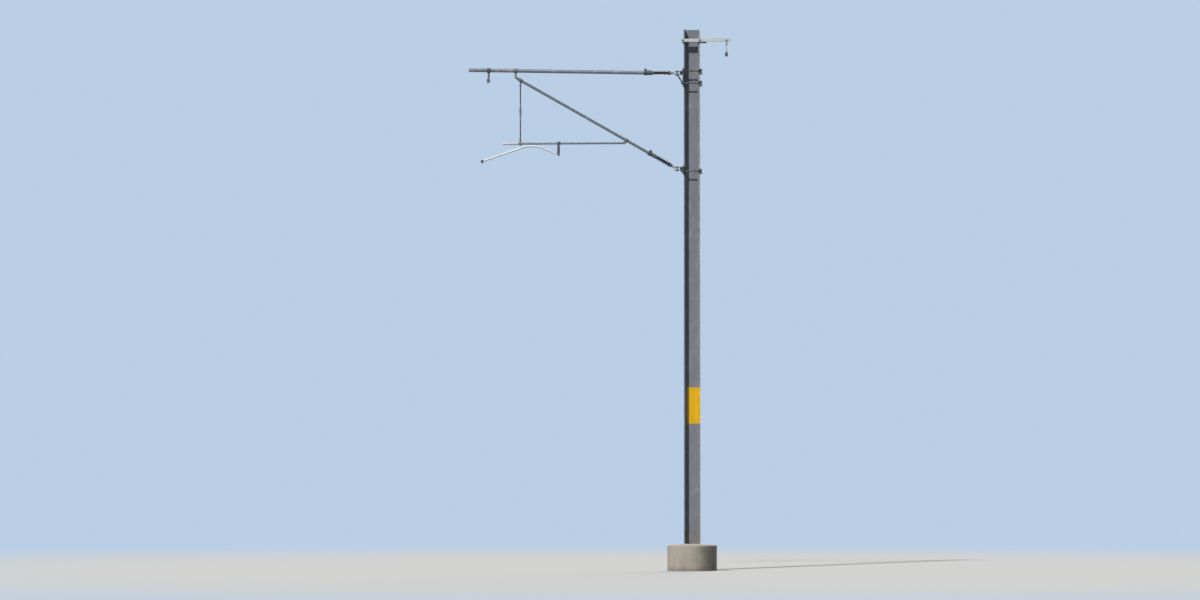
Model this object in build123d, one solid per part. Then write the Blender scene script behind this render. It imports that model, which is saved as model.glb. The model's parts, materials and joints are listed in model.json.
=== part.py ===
from build123d import *
import math
import os

# A railway catenary mast: a wide-flange steel post in a round concrete foundation,
# with a hinged tubular cantilever on one side and a wire bracket near its top.
#
# Lengths are in millimetres and angles in degrees. The origin is the centre of the
# foundation's flat underside, at ground level. +Z is up. Y runs along the track.
# The track lies towards -X, and the cantilever reaches out that way.

# Foundation
FOUNDATION_D = 770
FOUNDATION_H = 400
FOUNDATION_EDGE = 14
POST_EMBED = 300

# Post, a rolled wide-flange section with its web across the track
POST_H = 8000
SECTION_DEPTH = 240
SECTION_WIDTH = 240
WEB_T = 10
FLANGE_T = 17
ROOT_R = 21

# Heights of what the post carries
UPPER_PIVOT_DROP = 672
PIVOT_SPACING = 1490
CROSSARM_DROP = 147

# Clamps round the post: threaded rods, nuts and channel bars
ROD_D = 20
ROD_NUT_AF = 30
ROD_NUT_T = 16
ROD_TAIL = 12
ROD_GAP = 4
ROD_HOLE_GAP = 1
ROD_EDGE = 30
CHANNEL_H = 65
CHANNEL_LEG = 42
CHANNEL_T = 5.5
CHANNEL_ROOT = 7

# Brackets on the post that carry the cantilever's two vertical pins
BRACKET_PLATE_T = 14
BRACKET_CORNER_R = 12
SWIVEL_REACH = 115
LUG_T = 10
LUG_HALF_WIDTH = 30
GUSSET_T = 10
GUSSET_LEN = 52
UPPER_ROD_LIFT = 20
UPPER_ROD_SPACING = 185
UPPER_PLATE_ABOVE = 50
UPPER_PLATE_BELOW = 50
BRACE_T = 10
BRACE_TIP = 34
BRACE_FOOT = 40
LOWER_ROD_DROP = 45
LOWER_PLATE_ABOVE = 45
LOWER_PLATE_BELOW = 45

# Swivels at the mast end of the cantilever
SWIVEL_PIN_D = 22
SWIVEL_HEAD_D = 36
SWIVEL_HEAD_T = 10
SWIVEL_TAIL = 10
SWIVEL_EYE_D = 48
SWIVEL_EYE_H = 36
SWIVEL_NECK_END = 46
FORK_PIN_OUT = 68
FORK_PIN_D = 16
FORK_CHEEK_T = 10
FORK_R = 17

# Running clearances
SEAT_GAP = 0.3
LIFT_GAP = 0.7
PIN_GAP = 0.1
CHEEK_GAP = 0.25
SOCKET_GAP = 0.1

# Insulators, one in the top tube and one in the strut
TONGUE_T = 20
CAP_START = 92
CAP_LEN = 45
CAP_D = 58
CAP_CUP = 22
CORE_D = 42
SHED_D = 92
SHED_COUNT = 6
SHED_PITCH = 38
SHED_TIP = 3.5
SHED_ROOT = 11
SHED_DROOP = 9
SOCKET_LEN = 110
SOCKET_WALL = 7
SOCKET_BASE = 14
COLLAR_LEN = 44
COLLAR_WALL = 13
COLLAR_SLIT = 6
EAR_W = 30
EAR_H = 20

# Cantilever tubes
TOP_TUBE_D = 60.3
TOP_TUBE_WALL = 4
TOP_TUBE_REACH = 3245
TOP_TUBE_RISE = 1.25
STRUT_D = 48.3
STRUT_WALL = 4
STRUT_CLAMP_REACH = 2520
STRUT_CLAMP_DROP = 106
REG_TUBE_D = 34
REG_TUBE_WALL = 3.5
REG_TUBE_RISE = 405
REG_TUBE_TAIL = 270
REG_LUG_OUT = 52
TUBE_PLUG_LEN = 60

# Fittings clamped round the tubes
RING_WALL = 8
RING_LEN = 44
CLAMP_EAR_OUT = 24
CLAMP_EAR_T = 20
CLAMP_EAR_R = 10
CLAMP_SPLIT = 3
FITTING_PIN_D = 16
FITTING_EYE_D = 38
PIN_HEAD_T = 8
PIN_NUT_T = 11

# Hanger between the strut's upper end and the registration tube
HANGER_INSET = 75
HANGER_D = 21
HANGER_LUG_OUT = 62
HANGER_FOOT_LUG = 52
HANGER_LUG_T = 12
HANGER_LUG_W = 28
HANGER_PIN_D = 12
HANGER_FORK_T = 6
HANGER_FORK_LEN = 34
TURNBUCKLE_D = 34
TURNBUCKLE_LEN = 120
TURNBUCKLE_GRIP = 42
TURNBUCKLE_RATIO = 0.5

# Sleeve and plug on the free tube ends
SLEEVE_GAP = 13
SLEEVE_WALL = 4
END_PLATE_T = 8

# Steady arm and the bracket that it hangs from
STEADY_REACH = 1843
STEADY_DROP = 180
STEADY_OFFSET = 52
STEADY_BAR_W = 40
STEADY_BAR_T = 12
STEADY_EYE_D = 44
STEADY_EYE_T = 20
STEADY_EYE_REACH = 60
STEADY_HEADROOM = 42
STEADY_D = 32
STEADY_WALL = 3
STEADY_RISE = 23.2
STEADY_FALL = 18.6
STEADY_RUN_IN = 400
STEADY_RUN_OUT = 770
STEADY_BEND_R = 500
STEADY_PLUG_LEN = 50

# Contact wire clamp at the steady arm's tip
CONTACT_BORE_D = 12
CONTACT_MOUTH = 8
CONTACT_SLOT = 2
CONTACT_BODY_X = 34
CONTACT_BODY_Y = 56
CONTACT_BODY_ABOVE = 44
CONTACT_BODY_BELOW = 5.5
CONTACT_OUT = 24
CONTACT_DROP = 32

# Wire clamps that hang from a pin
MESSENGER_REACH = 2943
MESSENGER_HINGE_DROP = 62
MESSENGER_LINK = 66
CLAMP_PIN_D = 16
CLAMP_LUG_T = 12
CLAMP_LUG_R = 18
STRAP_T = 6
STRAP_R = 15
LOWER_PIN_D = 12
WIRE_DROP = 38
WIRE_BORE_D = 14
WIRE_SLIT = 3
WIRE_BODY_X = 46
WIRE_BODY_Y = 110
WIRE_BODY_H = 46

# Wire bracket near the top of the post, an equal angle, and its clamp
ANGLE_LEG = 50
ANGLE_T = 5
ANGLE_ROOT = 7
CROSSARM_OUT = 620
CROSSARM_ROD_D = 16
CROSSARM_ROD_UP = 30
CROSSARM_NUT_AF = 24
CROSSARM_NUT_T = 13
CROSSARM_ROD_EDGE = 25
BACK_BAR_H = 60
BACK_BAR_T = 8
BACK_BAR_TAIL = 90
SUSPENSION_X = 550
SUSPENSION_Y_IN = 21
SUSPENSION_HINGE_DROP = 40
SUSPENSION_LINK = 125
EYE_BOLT_D = 16
EYE_BOLT_COLLAR_D = 30
EYE_BOLT_COLLAR_T = 6

# Places worked out from the sizes above
POST_TOP = FOUNDATION_H + POST_H
FLANGE_X = SECTION_DEPTH / 2
TIP_Y = SECTION_WIDTH / 2
ROD_Y = TIP_Y + ROD_GAP + ROD_D / 2
PLATE_X = -FLANGE_X - BRACKET_PLATE_T
SWIVEL_X = -FLANGE_X - SWIVEL_REACH
UPPER_PIVOT_Z = POST_TOP - UPPER_PIVOT_DROP
LOWER_PIVOT_Z = UPPER_PIVOT_Z - PIVOT_SPACING
LUG_TOP = SWIVEL_EYE_H / 2 + LIFT_GAP
LUG_BOTTOM = SWIVEL_EYE_H / 2 + SEAT_GAP
REG_Z = LOWER_PIVOT_Z + REG_TUBE_RISE
SHED_RUN = SHED_COUNT * SHED_PITCH
OUTER_CAP_START = CAP_START + CAP_LEN + SHED_RUN
SOCKET_START = OUTER_CAP_START + CAP_CUP + SOCKET_BASE
SOCKET_END = SOCKET_START + SOCKET_LEN
HANGER_REACH = STRUT_CLAMP_REACH - HANGER_INSET
REG_TUBE_REACH = HANGER_REACH + REG_TUBE_TAIL
SLEEVE_LEN = REG_TUBE_TAIL - RING_LEN / 2 - SLEEVE_GAP


def top_tube_z(reach):
    """Height of the top tube's axis at a horizontal reach from the swivel axis."""
    return UPPER_PIVOT_Z + reach * math.tan(math.radians(TOP_TUBE_RISE))


STRUT_PIN_Z = top_tube_z(STRUT_CLAMP_REACH) - STRUT_CLAMP_DROP
STRUT_RISE = math.degrees(math.atan2(STRUT_PIN_Z - LOWER_PIVOT_Z, STRUT_CLAMP_REACH))
STRUT_LEN = math.hypot(STRUT_PIN_Z - LOWER_PIVOT_Z, STRUT_CLAMP_REACH)


# Shapes used by several pieces

def block(x0, x1, y0, y1, z0, z1):
    """A box between six planes."""
    size = Box(x1 - x0, y1 - y0, z1 - z0)
    return Pos((x0 + x1) / 2, (y0 + y1) / 2, (z0 + z1) / 2) * size


def bar_x(diameter, x0, x1, y=0, z=0):
    """A round bar along X."""
    return Pos((x0 + x1) / 2, y, z) * Rot(0, 90, 0) * Cylinder(diameter / 2, x1 - x0)


def bar_y(diameter, y0, y1, x=0, z=0):
    """A round bar along Y."""
    return Pos(x, (y0 + y1) / 2, z) * Rot(90, 0, 0) * Cylinder(diameter / 2, y1 - y0)


def bar_z(diameter, z0, z1, x=0, y=0):
    """A round bar along Z."""
    return Pos(x, y, (z0 + z1) / 2) * Cylinder(diameter / 2, z1 - z0)


def nut(across_flats, thickness):
    """A hexagonal nut without its hole, centred, its axis along Z."""
    prism = extrude(RegularPolygon(across_flats / math.sqrt(3), 6), thickness)
    return Pos(0, 0, -thickness / 2) * prism


def side_plate(points, y0, y1):
    """A flat plate between two Y planes, with an outline given in X and Z."""
    face = Plane.XZ * make_face(Polyline(*points, close=True))
    return Pos(0, y1, 0) * extrude(face, y1 - y0)


def eye_plate(length, half_height, thickness, radius, hole_d):
    """A flat bar along +X from an eye at the origin, with its hole along Y."""
    plate = block(0, length, -thickness / 2, thickness / 2, -half_height, half_height)
    plate += bar_y(2 * radius, -thickness / 2, thickness / 2)
    return plate - bar_y(hole_d, -thickness, thickness)


def cross_pin(diameter, half_width):
    """A headed pin along Y with its nut, gripping a fork of the given half width."""
    head_d = 1.6 * diameter
    pin = bar_y(diameter, -half_width, half_width)
    pin += bar_y(head_d, -half_width - PIN_HEAD_T, -half_width)
    pin += Pos(0, half_width + PIN_NUT_T / 2, 0) * Rot(90, 0, 0) * nut(head_d, PIN_NUT_T)
    return pin


def member_frame(pivot_z, rise):
    """Frame of a tube: X runs out along it from the swivel axis and Z points up across it."""
    tilt = math.radians(rise)
    along = (-math.cos(tilt), 0, math.sin(tilt))
    across = (math.sin(tilt), 0, math.cos(tilt))
    return Plane(origin=(SWIVEL_X, 0, pivot_z), x_dir=along, z_dir=across).location


TOP_FRAME = member_frame(UPPER_PIVOT_Z, TOP_TUBE_RISE)
STRUT_FRAME = member_frame(LOWER_PIVOT_Z, STRUT_RISE)


# Foundation and post

def section_face():
    """The wide-flange section, web along X and flanges along Y."""
    pocket_x = SECTION_DEPTH - 2 * FLANGE_T
    pocket_y = (SECTION_WIDTH - WEB_T) / 2
    face = Rectangle(SECTION_DEPTH, SECTION_WIDTH)
    for side in (-1, 1):
        face -= Pos(0, side * (WEB_T + pocket_y) / 2) * Rectangle(pocket_x, pocket_y)
    roots = [v for v in face.vertices() if abs(v.Y) < WEB_T]
    return fillet(roots, ROOT_R)


def post():
    """The rolled post, from its foot inside the foundation to its plain cut top."""
    length = POST_EMBED + POST_H
    return Pos(0, 0, FOUNDATION_H - POST_EMBED) * extrude(section_face(), length)


def foundation():
    """The round concrete foundation with the pocket that the post stands in."""
    body = bar_z(FOUNDATION_D, 0, FOUNDATION_H)
    rim = body.edges().filter_by(GeomType.CIRCLE).sort_by(Axis.Z)[-1]
    body = chamfer(rim, FOUNDATION_EDGE)
    pocket = extrude(section_face(), POST_EMBED)
    return body - Pos(0, 0, FOUNDATION_H - POST_EMBED) * pocket


# Clamps round the post

def clamp_rods(z):
    """Two threaded rods with nuts, one on each side of the post, along X."""
    left = PLATE_X - ROD_NUT_T - ROD_TAIL
    right = FLANGE_X + CHANNEL_T + ROD_NUT_T + ROD_TAIL
    rods = []
    for side in (-1, 1):
        y = side * ROD_Y
        rod = bar_x(ROD_D, left, right, y, z)
        for x in (PLATE_X - ROD_NUT_T / 2, FLANGE_X + CHANNEL_T + ROD_NUT_T / 2):
            rod += Pos(x, y, z) * Rot(0, 90, 0) * nut(ROD_NUT_AF, ROD_NUT_T)
        rods.append(rod)
    return rods


def rod_holes(z, x0, x1):
    """Clearance holes for the two rods between two X planes."""
    holes = bar_x(ROD_D + 2 * ROD_HOLE_GAP, x0, x1, ROD_Y, z)
    return holes + bar_x(ROD_D + 2 * ROD_HOLE_GAP, x0, x1, -ROD_Y, z)


def channel_bar(z):
    """A channel across the far flange, its back on the flange and its legs outwards."""
    reach = ROD_Y + ROD_EDGE
    x0 = FLANGE_X
    x1 = FLANGE_X + CHANNEL_LEG
    bar = block(x0, x1, -reach, reach, z - CHANNEL_H / 2, z + CHANNEL_H / 2)
    inner = CHANNEL_H / 2 - CHANNEL_T
    hollow = block(x0 + CHANNEL_T, x1 + CHANNEL_ROOT, -reach - 1, reach + 1, z - inner, z + inner)
    hollow = fillet(hollow.edges().filter_by(Axis.Y).group_by(Axis.X)[0], CHANNEL_ROOT)
    return bar - hollow - rod_holes(z, x0 - 1, x0 + CHANNEL_T + 1)


def upper_rod_heights():
    """Heights of the two clamps that hold the upper bracket."""
    top = UPPER_PIVOT_Z + UPPER_ROD_LIFT
    return top, top - UPPER_ROD_SPACING


def lower_rod_height():
    """Height of the clamp that holds the lower bracket."""
    return LOWER_PIVOT_Z - LOWER_ROD_DROP


# Brackets on the post

def bracket_plate(z0, z1, rod_heights):
    """The plate on the near flange, drilled for its clamp rods."""
    reach = ROD_Y + ROD_EDGE
    plate = block(PLATE_X, -FLANGE_X, -reach, reach, z0, z1)
    plate = fillet(plate.edges().filter_by(Axis.X), BRACKET_CORNER_R)
    for z in rod_heights:
        plate -= rod_holes(z, PLATE_X - 1, 1 - FLANGE_X)
    return plate


def bracket_lugs(pivot_z):
    """Two flat lugs with the vertical pin's hole, and the gusset between them."""
    lugs = []
    for z0 in (pivot_z + LUG_TOP, pivot_z - LUG_BOTTOM - LUG_T):
        lug = block(SWIVEL_X, PLATE_X, -LUG_HALF_WIDTH, LUG_HALF_WIDTH, z0, z0 + LUG_T)
        lug += bar_z(2 * LUG_HALF_WIDTH, z0, z0 + LUG_T, SWIVEL_X)
        lugs.append(lug - bar_z(SWIVEL_PIN_D + 2 * PIN_GAP, z0 - 1, z0 + LUG_T + 1, SWIVEL_X))
    gusset = block(PLATE_X - GUSSET_LEN, PLATE_X, -GUSSET_T / 2, GUSSET_T / 2,
                   pivot_z - LUG_BOTTOM, pivot_z + LUG_TOP)
    return lugs[0] + lugs[1] + gusset


def upper_bracket():
    """The welded bracket of the top tube: plate, lugs and two sloping braces."""
    heights = upper_rod_heights()
    plate_bottom = heights[1] - UPPER_PLATE_BELOW
    body = bracket_plate(plate_bottom, heights[0] + UPPER_PLATE_ABOVE, heights)
    body += bracket_lugs(UPPER_PIVOT_Z)
    underside = UPPER_PIVOT_Z - LUG_BOTTOM - LUG_T
    foot = heights[1] - BRACE_FOOT / 2
    outline = [
        (SWIVEL_X - BRACE_TIP / 4, underside),
        (SWIVEL_X + BRACE_TIP * 3 / 4, underside),
        (PLATE_X, foot + BRACE_FOOT),
        (PLATE_X, foot),
    ]
    body += side_plate(outline, LUG_HALF_WIDTH - BRACE_T, LUG_HALF_WIDTH)
    body += side_plate(outline, -LUG_HALF_WIDTH, BRACE_T - LUG_HALF_WIDTH)
    return body


def lower_bracket():
    """The welded bracket of the strut: plate, lugs and a gusset below."""
    z_rod = lower_rod_height()
    plate_bottom = z_rod - LOWER_PLATE_BELOW
    body = bracket_plate(plate_bottom, LOWER_PIVOT_Z + LOWER_PLATE_ABOVE, (z_rod,))
    body += bracket_lugs(LOWER_PIVOT_Z)
    underside = LOWER_PIVOT_Z - LUG_BOTTOM - LUG_T
    outline = [
        (PLATE_X - GUSSET_LEN, underside),
        (PLATE_X, underside),
        (PLATE_X, plate_bottom),
    ]
    return body + side_plate(outline, -GUSSET_T / 2, GUSSET_T / 2)


def swivel_pin(pivot_z):
    """A vertical pin: its head rests on the upper lug, and a collar closes it below."""
    top = pivot_z + LUG_TOP + LUG_T
    bottom = pivot_z - LUG_BOTTOM - LUG_T
    pin = bar_z(SWIVEL_PIN_D, bottom - SWIVEL_TAIL, top, SWIVEL_X)
    pin += bar_z(SWIVEL_HEAD_D, top, top + SWIVEL_HEAD_T, SWIVEL_X)
    return pin + bar_z(SWIVEL_HEAD_D, bottom - SWIVEL_TAIL, bottom, SWIVEL_X)


# Swivel heads and insulators, built along +X of their tube's frame

def fork_half_width():
    """Half the outer width of the fork that grips an insulator's tongue."""
    return TONGUE_T / 2 + CHEEK_GAP + FORK_CHEEK_T


def swivel_head(pivot_z, frame):
    """The eye on the vertical pin, with the fork that carries the insulator."""
    half = SWIVEL_EYE_H / 2
    width = fork_half_width()
    head = bar_z(SWIVEL_EYE_D, pivot_z - half, pivot_z + half, SWIVEL_X)
    head += block(SWIVEL_X - SWIVEL_NECK_END, SWIVEL_X, -width, width,
                  pivot_z - half, pivot_z + half)
    head -= bar_z(SWIVEL_PIN_D + 2 * PIN_GAP, pivot_z - half - 1, pivot_z + half + 1, SWIVEL_X)
    fork = block(SWIVEL_NECK_END, FORK_PIN_OUT, -width, width, -FORK_R, FORK_R)
    fork += bar_y(2 * FORK_R, -width, width, FORK_PIN_OUT)
    slot = TONGUE_T / 2 + CHEEK_GAP
    fork -= block(FORK_PIN_OUT - FORK_R - 2, FORK_PIN_OUT + 2 * FORK_R, -slot, slot,
                  -2 * FORK_R, 2 * FORK_R)
    fork -= bar_y(FORK_PIN_D + 2 * PIN_GAP, -width - 1, width + 1, FORK_PIN_OUT)
    neck = block(SWIVEL_NECK_END - FORK_R, SWIVEL_NECK_END, -width, width, -half, half)
    clear = SWIVEL_X - LUG_HALF_WIDTH - 3
    neck = frame * neck
    neck -= block(clear, 0, -2 * width, 2 * width, pivot_z - 4 * half, pivot_z + 4 * half)
    return head + frame * fork + neck


def head_pin(frame):
    """The horizontal pin through the fork and the insulator's tongue."""
    return frame * Pos(FORK_PIN_OUT, 0, 0) * cross_pin(FORK_PIN_D, fork_half_width())


def inner_cap():
    """The insulator's mast-side metal cap with its tongue."""
    tongue_r = FORK_R - 1
    start = FORK_PIN_OUT
    cap = block(start, CAP_START, -TONGUE_T / 2, TONGUE_T / 2, -tongue_r, tongue_r)
    cap += bar_y(2 * tongue_r, -TONGUE_T / 2, TONGUE_T / 2, start)
    cap -= bar_y(FORK_PIN_D + 2 * PIN_GAP, -TONGUE_T, TONGUE_T, start)
    cap += bar_x(CAP_D, CAP_START, CAP_START + CAP_LEN)
    cup_start = CAP_START + CAP_LEN - CAP_CUP
    return cap - bar_x(CORE_D + 2 * SOCKET_GAP, cup_start, CAP_START + CAP_LEN + 1)


def outer_cap(tube_d):
    """The far metal cap: a cup for the core, then a socket with a split collar."""
    bore = tube_d + 2 * SOCKET_GAP
    cap = bar_x(CAP_D, OUTER_CAP_START, SOCKET_START)
    cap += bar_x(bore + 2 * SOCKET_WALL, SOCKET_START - SOCKET_BASE, SOCKET_END)
    collar_start = SOCKET_END - COLLAR_LEN
    collar_r = bore / 2 + COLLAR_WALL
    cap += bar_x(2 * collar_r, collar_start, SOCKET_END)
    cap += block(collar_start, SOCKET_END, -EAR_W / 2, EAR_W / 2, 0, collar_r + EAR_H)
    cap -= bar_x(CORE_D + 2 * SOCKET_GAP, OUTER_CAP_START - 1, OUTER_CAP_START + CAP_CUP)
    cap -= bar_x(bore, SOCKET_START, SOCKET_END + 1)
    return cap - block(collar_start - COLLAR_LEN / 2, SOCKET_END + 1,
                       -COLLAR_SLIT / 2, COLLAR_SLIT / 2, 0, 2 * collar_r)


def insulator():
    """The ribbed insulator: a round core with sloping sheds, seated in both caps."""
    start = CAP_START + CAP_LEN - CAP_CUP
    end = OUTER_CAP_START + CAP_CUP
    core_r = CORE_D / 2
    points = [(start, 0), (start, core_r)]
    for index in range(SHED_COUNT):
        middle = CAP_START + CAP_LEN + (index + 0.5) * SHED_PITCH
        points.append((middle - SHED_ROOT / 2, core_r))
        points.append((middle - SHED_TIP / 2 - SHED_DROOP, SHED_D / 2))
        points.append((middle + SHED_TIP / 2 - SHED_DROOP, SHED_D / 2))
        points.append((middle + SHED_ROOT / 2, core_r))
    points += [(end, core_r), (end, 0)]
    profile = make_face(Polyline(*points, close=True))
    return revolve(profile, Axis.X, 360)


# Cantilever tubes, built along +X of their frames

def tube(outer_d, wall, x0, x1):
    """A round tube along X."""
    return bar_x(outer_d, x0, x1) - bar_x(outer_d - 2 * wall, x0 - 1, x1 + 1)


def along_top_tube(reach):
    """Distance out along the top tube at a horizontal reach."""
    return reach / math.cos(math.radians(TOP_TUBE_RISE))


def along_strut(reach):
    """Distance out along the strut at a horizontal reach."""
    return reach / math.cos(math.radians(STRUT_RISE))


def top_tube():
    """The upper tube of the cantilever."""
    end = along_top_tube(TOP_TUBE_REACH)
    return TOP_FRAME * tube(TOP_TUBE_D, TOP_TUBE_WALL, SOCKET_START, end)


def top_tube_plug():
    """The plug that closes the top tube's free end."""
    end = along_top_tube(TOP_TUBE_REACH)
    bore = TOP_TUBE_D - 2 * TOP_TUBE_WALL - 2 * SOCKET_GAP
    plug = bar_x(bore, end - END_PLATE_T, end) + bar_x(TOP_TUBE_D, end, end + END_PLATE_T)
    return TOP_FRAME * plug


def strut():
    """The sloping tube that props the top tube."""
    end = STRUT_LEN - FITTING_EYE_D
    return STRUT_FRAME * tube(STRUT_D, STRUT_WALL, SOCKET_START, end)


def strut_eye():
    """The eye fitting at the strut's upper end, plugged into the tube."""
    end = STRUT_LEN - FITTING_EYE_D
    bore = STRUT_D - 2 * STRUT_WALL - 2 * SOCKET_GAP
    eye = eye_plate(FITTING_EYE_D - END_PLATE_T, FITTING_EYE_D / 2 - 3, TONGUE_T,
                    FITTING_EYE_D / 2, FITTING_PIN_D + 2 * PIN_GAP)
    eye = Pos(STRUT_LEN, 0, 0) * Rot(0, 180, 0) * eye
    eye += bar_x(STRUT_D, end, end + END_PLATE_T) + bar_x(bore, end - TUBE_PLUG_LEN, end)
    return STRUT_FRAME * eye


def ring_blank(tube_d, middle, sides=(-1, 1)):
    """A thick ring round a tube's axis with split ears for bolts, before its bore is cut."""
    ring_r = tube_d / 2 + SOCKET_GAP + RING_WALL
    tip = ring_r + CLAMP_EAR_OUT
    x0 = middle - RING_LEN / 2
    x1 = middle + RING_LEN / 2
    ring = bar_x(2 * ring_r, x0, x1)
    for side in sides:
        ear = block(x0, x1, 0, tip, -CLAMP_EAR_T / 2, CLAMP_EAR_T / 2)
        ear = fillet(ear.edges().filter_by(Axis.Z).group_by(Axis.Y)[-1], CLAMP_EAR_R)
        ear -= block(x0 - 1, x1 + 1, ring_r, tip + 1, -CLAMP_SPLIT / 2, CLAMP_SPLIT / 2)
        ring += ear if side > 0 else mirror(ear, Plane.XZ)
    return ring


def ring_bore(tube_d, middle):
    """The bore of such a ring."""
    return bar_x(tube_d + 2 * SOCKET_GAP, middle - RING_LEN, middle + RING_LEN)


def fork_cheeks(x, z_top, z_eye, half_gap, cheek_t, radius):
    """Two cheeks that hang down to an eye, before its hole is cut."""
    cheeks = []
    for side in (-1, 1):
        y0 = min(side * half_gap, side * (half_gap + cheek_t))
        cheek = block(x - radius, x + radius, y0, y0 + cheek_t, z_eye, z_top)
        cheeks.append(cheek + bar_y(2 * radius, y0, y0 + cheek_t, x, z_eye))
    return cheeks[0] + cheeks[1]


def strut_clamp():
    """The clamp on the top tube with the fork that holds the strut's eye."""
    x = SWIVEL_X - STRUT_CLAMP_REACH
    half_gap = TONGUE_T / 2 + CHEEK_GAP
    middle = along_top_tube(STRUT_CLAMP_REACH)
    axis_z = top_tube_z(STRUT_CLAMP_REACH)
    body = TOP_FRAME * ring_blank(TOP_TUBE_D, middle)
    body += fork_cheeks(x, axis_z, STRUT_PIN_Z, half_gap, FORK_CHEEK_T, FORK_R)
    body -= TOP_FRAME * ring_bore(TOP_TUBE_D, middle)
    half = half_gap + FORK_CHEEK_T + 1
    return body - bar_y(FITTING_PIN_D + 2 * PIN_GAP, -half, half, x, STRUT_PIN_Z)


def strut_clamp_pin():
    """The pin between the strut's eye and its clamp."""
    place = Pos(SWIVEL_X - STRUT_CLAMP_REACH, 0, STRUT_PIN_Z)
    return place * cross_pin(FITTING_PIN_D, fork_half_width())


# Registration tube, below the strut

def registration_ring_at():
    """Distance along the strut of the registration tube's clamp."""
    lug_z = REG_LUG_OUT * math.cos(math.radians(STRUT_RISE))
    return (REG_TUBE_RISE + lug_z) / math.sin(math.radians(STRUT_RISE))


def registration_pin_reach():
    """Horizontal reach of the pin at the registration tube's inner end."""
    tilt = math.radians(STRUT_RISE)
    return registration_ring_at() * math.cos(tilt) + REG_LUG_OUT * math.sin(tilt)


def registration_clamp():
    """The clamp on the strut with the fork for the registration tube."""
    middle = registration_ring_at()
    half_gap = TONGUE_T / 2 + CHEEK_GAP
    body = ring_blank(STRUT_D, middle)
    body += fork_cheeks(middle, 0, -REG_LUG_OUT, half_gap, FORK_CHEEK_T, FORK_R)
    body -= ring_bore(STRUT_D, middle)
    half = half_gap + FORK_CHEEK_T + 1
    body -= bar_y(FITTING_PIN_D + 2 * PIN_GAP, -half, half, middle, -REG_LUG_OUT)
    return STRUT_FRAME * body


def registration_pin():
    """The pin between the strut's lower clamp and the registration tube's eye."""
    place = STRUT_FRAME * Pos(registration_ring_at(), 0, -REG_LUG_OUT)
    return place * cross_pin(FITTING_PIN_D, fork_half_width())


def registration_tube_start():
    """Where the registration tube begins, beyond its eye."""
    return SWIVEL_X - registration_pin_reach() - FITTING_EYE_D


def registration_tube_end():
    """Where the registration tube ends."""
    return SWIVEL_X - REG_TUBE_REACH


def registration_eye():
    """The eye fitting at the registration tube's inner end."""
    start = registration_tube_start()
    bore = REG_TUBE_D - 2 * REG_TUBE_WALL - 2 * SOCKET_GAP
    eye = eye_plate(FITTING_EYE_D - END_PLATE_T, REG_TUBE_D / 2, TONGUE_T,
                    FORK_R, FITTING_PIN_D + 2 * PIN_GAP)
    eye = Pos(start + FITTING_EYE_D, 0, REG_Z) * Rot(0, 180, 0) * eye
    eye += bar_x(REG_TUBE_D, start, start + END_PLATE_T, 0, REG_Z)
    return eye + bar_x(bore, start - TUBE_PLUG_LEN, start, 0, REG_Z)


def registration_tube():
    """The level tube that the steady arm hangs from."""
    length = registration_tube_start() - registration_tube_end()
    return Pos(registration_tube_end(), 0, REG_Z) * tube(REG_TUBE_D, REG_TUBE_WALL, 0, length)


def registration_sleeve():
    """The pale sleeve with a closed end over the registration tube's tip."""
    end = registration_tube_end()
    inner_d = REG_TUBE_D + 2 * SOCKET_GAP
    sleeve = bar_x(inner_d + 2 * SLEEVE_WALL, end - END_PLATE_T, end + SLEEVE_LEN, 0, REG_Z)
    return sleeve - bar_x(inner_d, end, end + SLEEVE_LEN + 1, 0, REG_Z)


# Hanger

def strut_z(reach):
    """Height of the strut's axis at a horizontal reach from the swivel axis."""
    return LOWER_PIVOT_Z + reach * math.tan(math.radians(STRUT_RISE))


HANGER_X = SWIVEL_X - HANGER_REACH
HANGER_TOP_PIN = strut_z(HANGER_REACH) - HANGER_LUG_OUT
HANGER_FOOT_PIN = REG_Z + HANGER_FOOT_LUG


def hanger_lug(z0, z1, z_eye):
    """A flat lug with a round eye, before its hole is cut."""
    half = HANGER_LUG_T / 2
    lug = block(HANGER_X - HANGER_LUG_W / 2, HANGER_X + HANGER_LUG_W / 2, -half, half, z0, z1)
    return lug + bar_y(HANGER_LUG_W, -half, half, HANGER_X, z_eye)


def hanger_hole(z_eye):
    """The hole through such an eye."""
    return bar_y(HANGER_PIN_D + 2 * PIN_GAP, -HANGER_LUG_T, HANGER_LUG_T, HANGER_X, z_eye)


def hanger_top_clamp():
    """The clamp on the strut that the hanger starts from."""
    middle = along_strut(HANGER_REACH)
    body = STRUT_FRAME * ring_blank(STRUT_D, middle)
    body += hanger_lug(HANGER_TOP_PIN, strut_z(HANGER_REACH), HANGER_TOP_PIN)
    body -= STRUT_FRAME * ring_bore(STRUT_D, middle)
    return body - hanger_hole(HANGER_TOP_PIN)


def hanger_foot_clamp():
    """The clamp on the registration tube that the hanger ends at."""
    body = Pos(HANGER_X, 0, REG_Z) * ring_blank(REG_TUBE_D, 0, sides=(1,))
    body += hanger_lug(REG_Z, HANGER_FOOT_PIN, HANGER_FOOT_PIN)
    body -= Pos(HANGER_X, 0, REG_Z) * ring_bore(REG_TUBE_D, 0)
    return body - hanger_hole(HANGER_FOOT_PIN)


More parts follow.
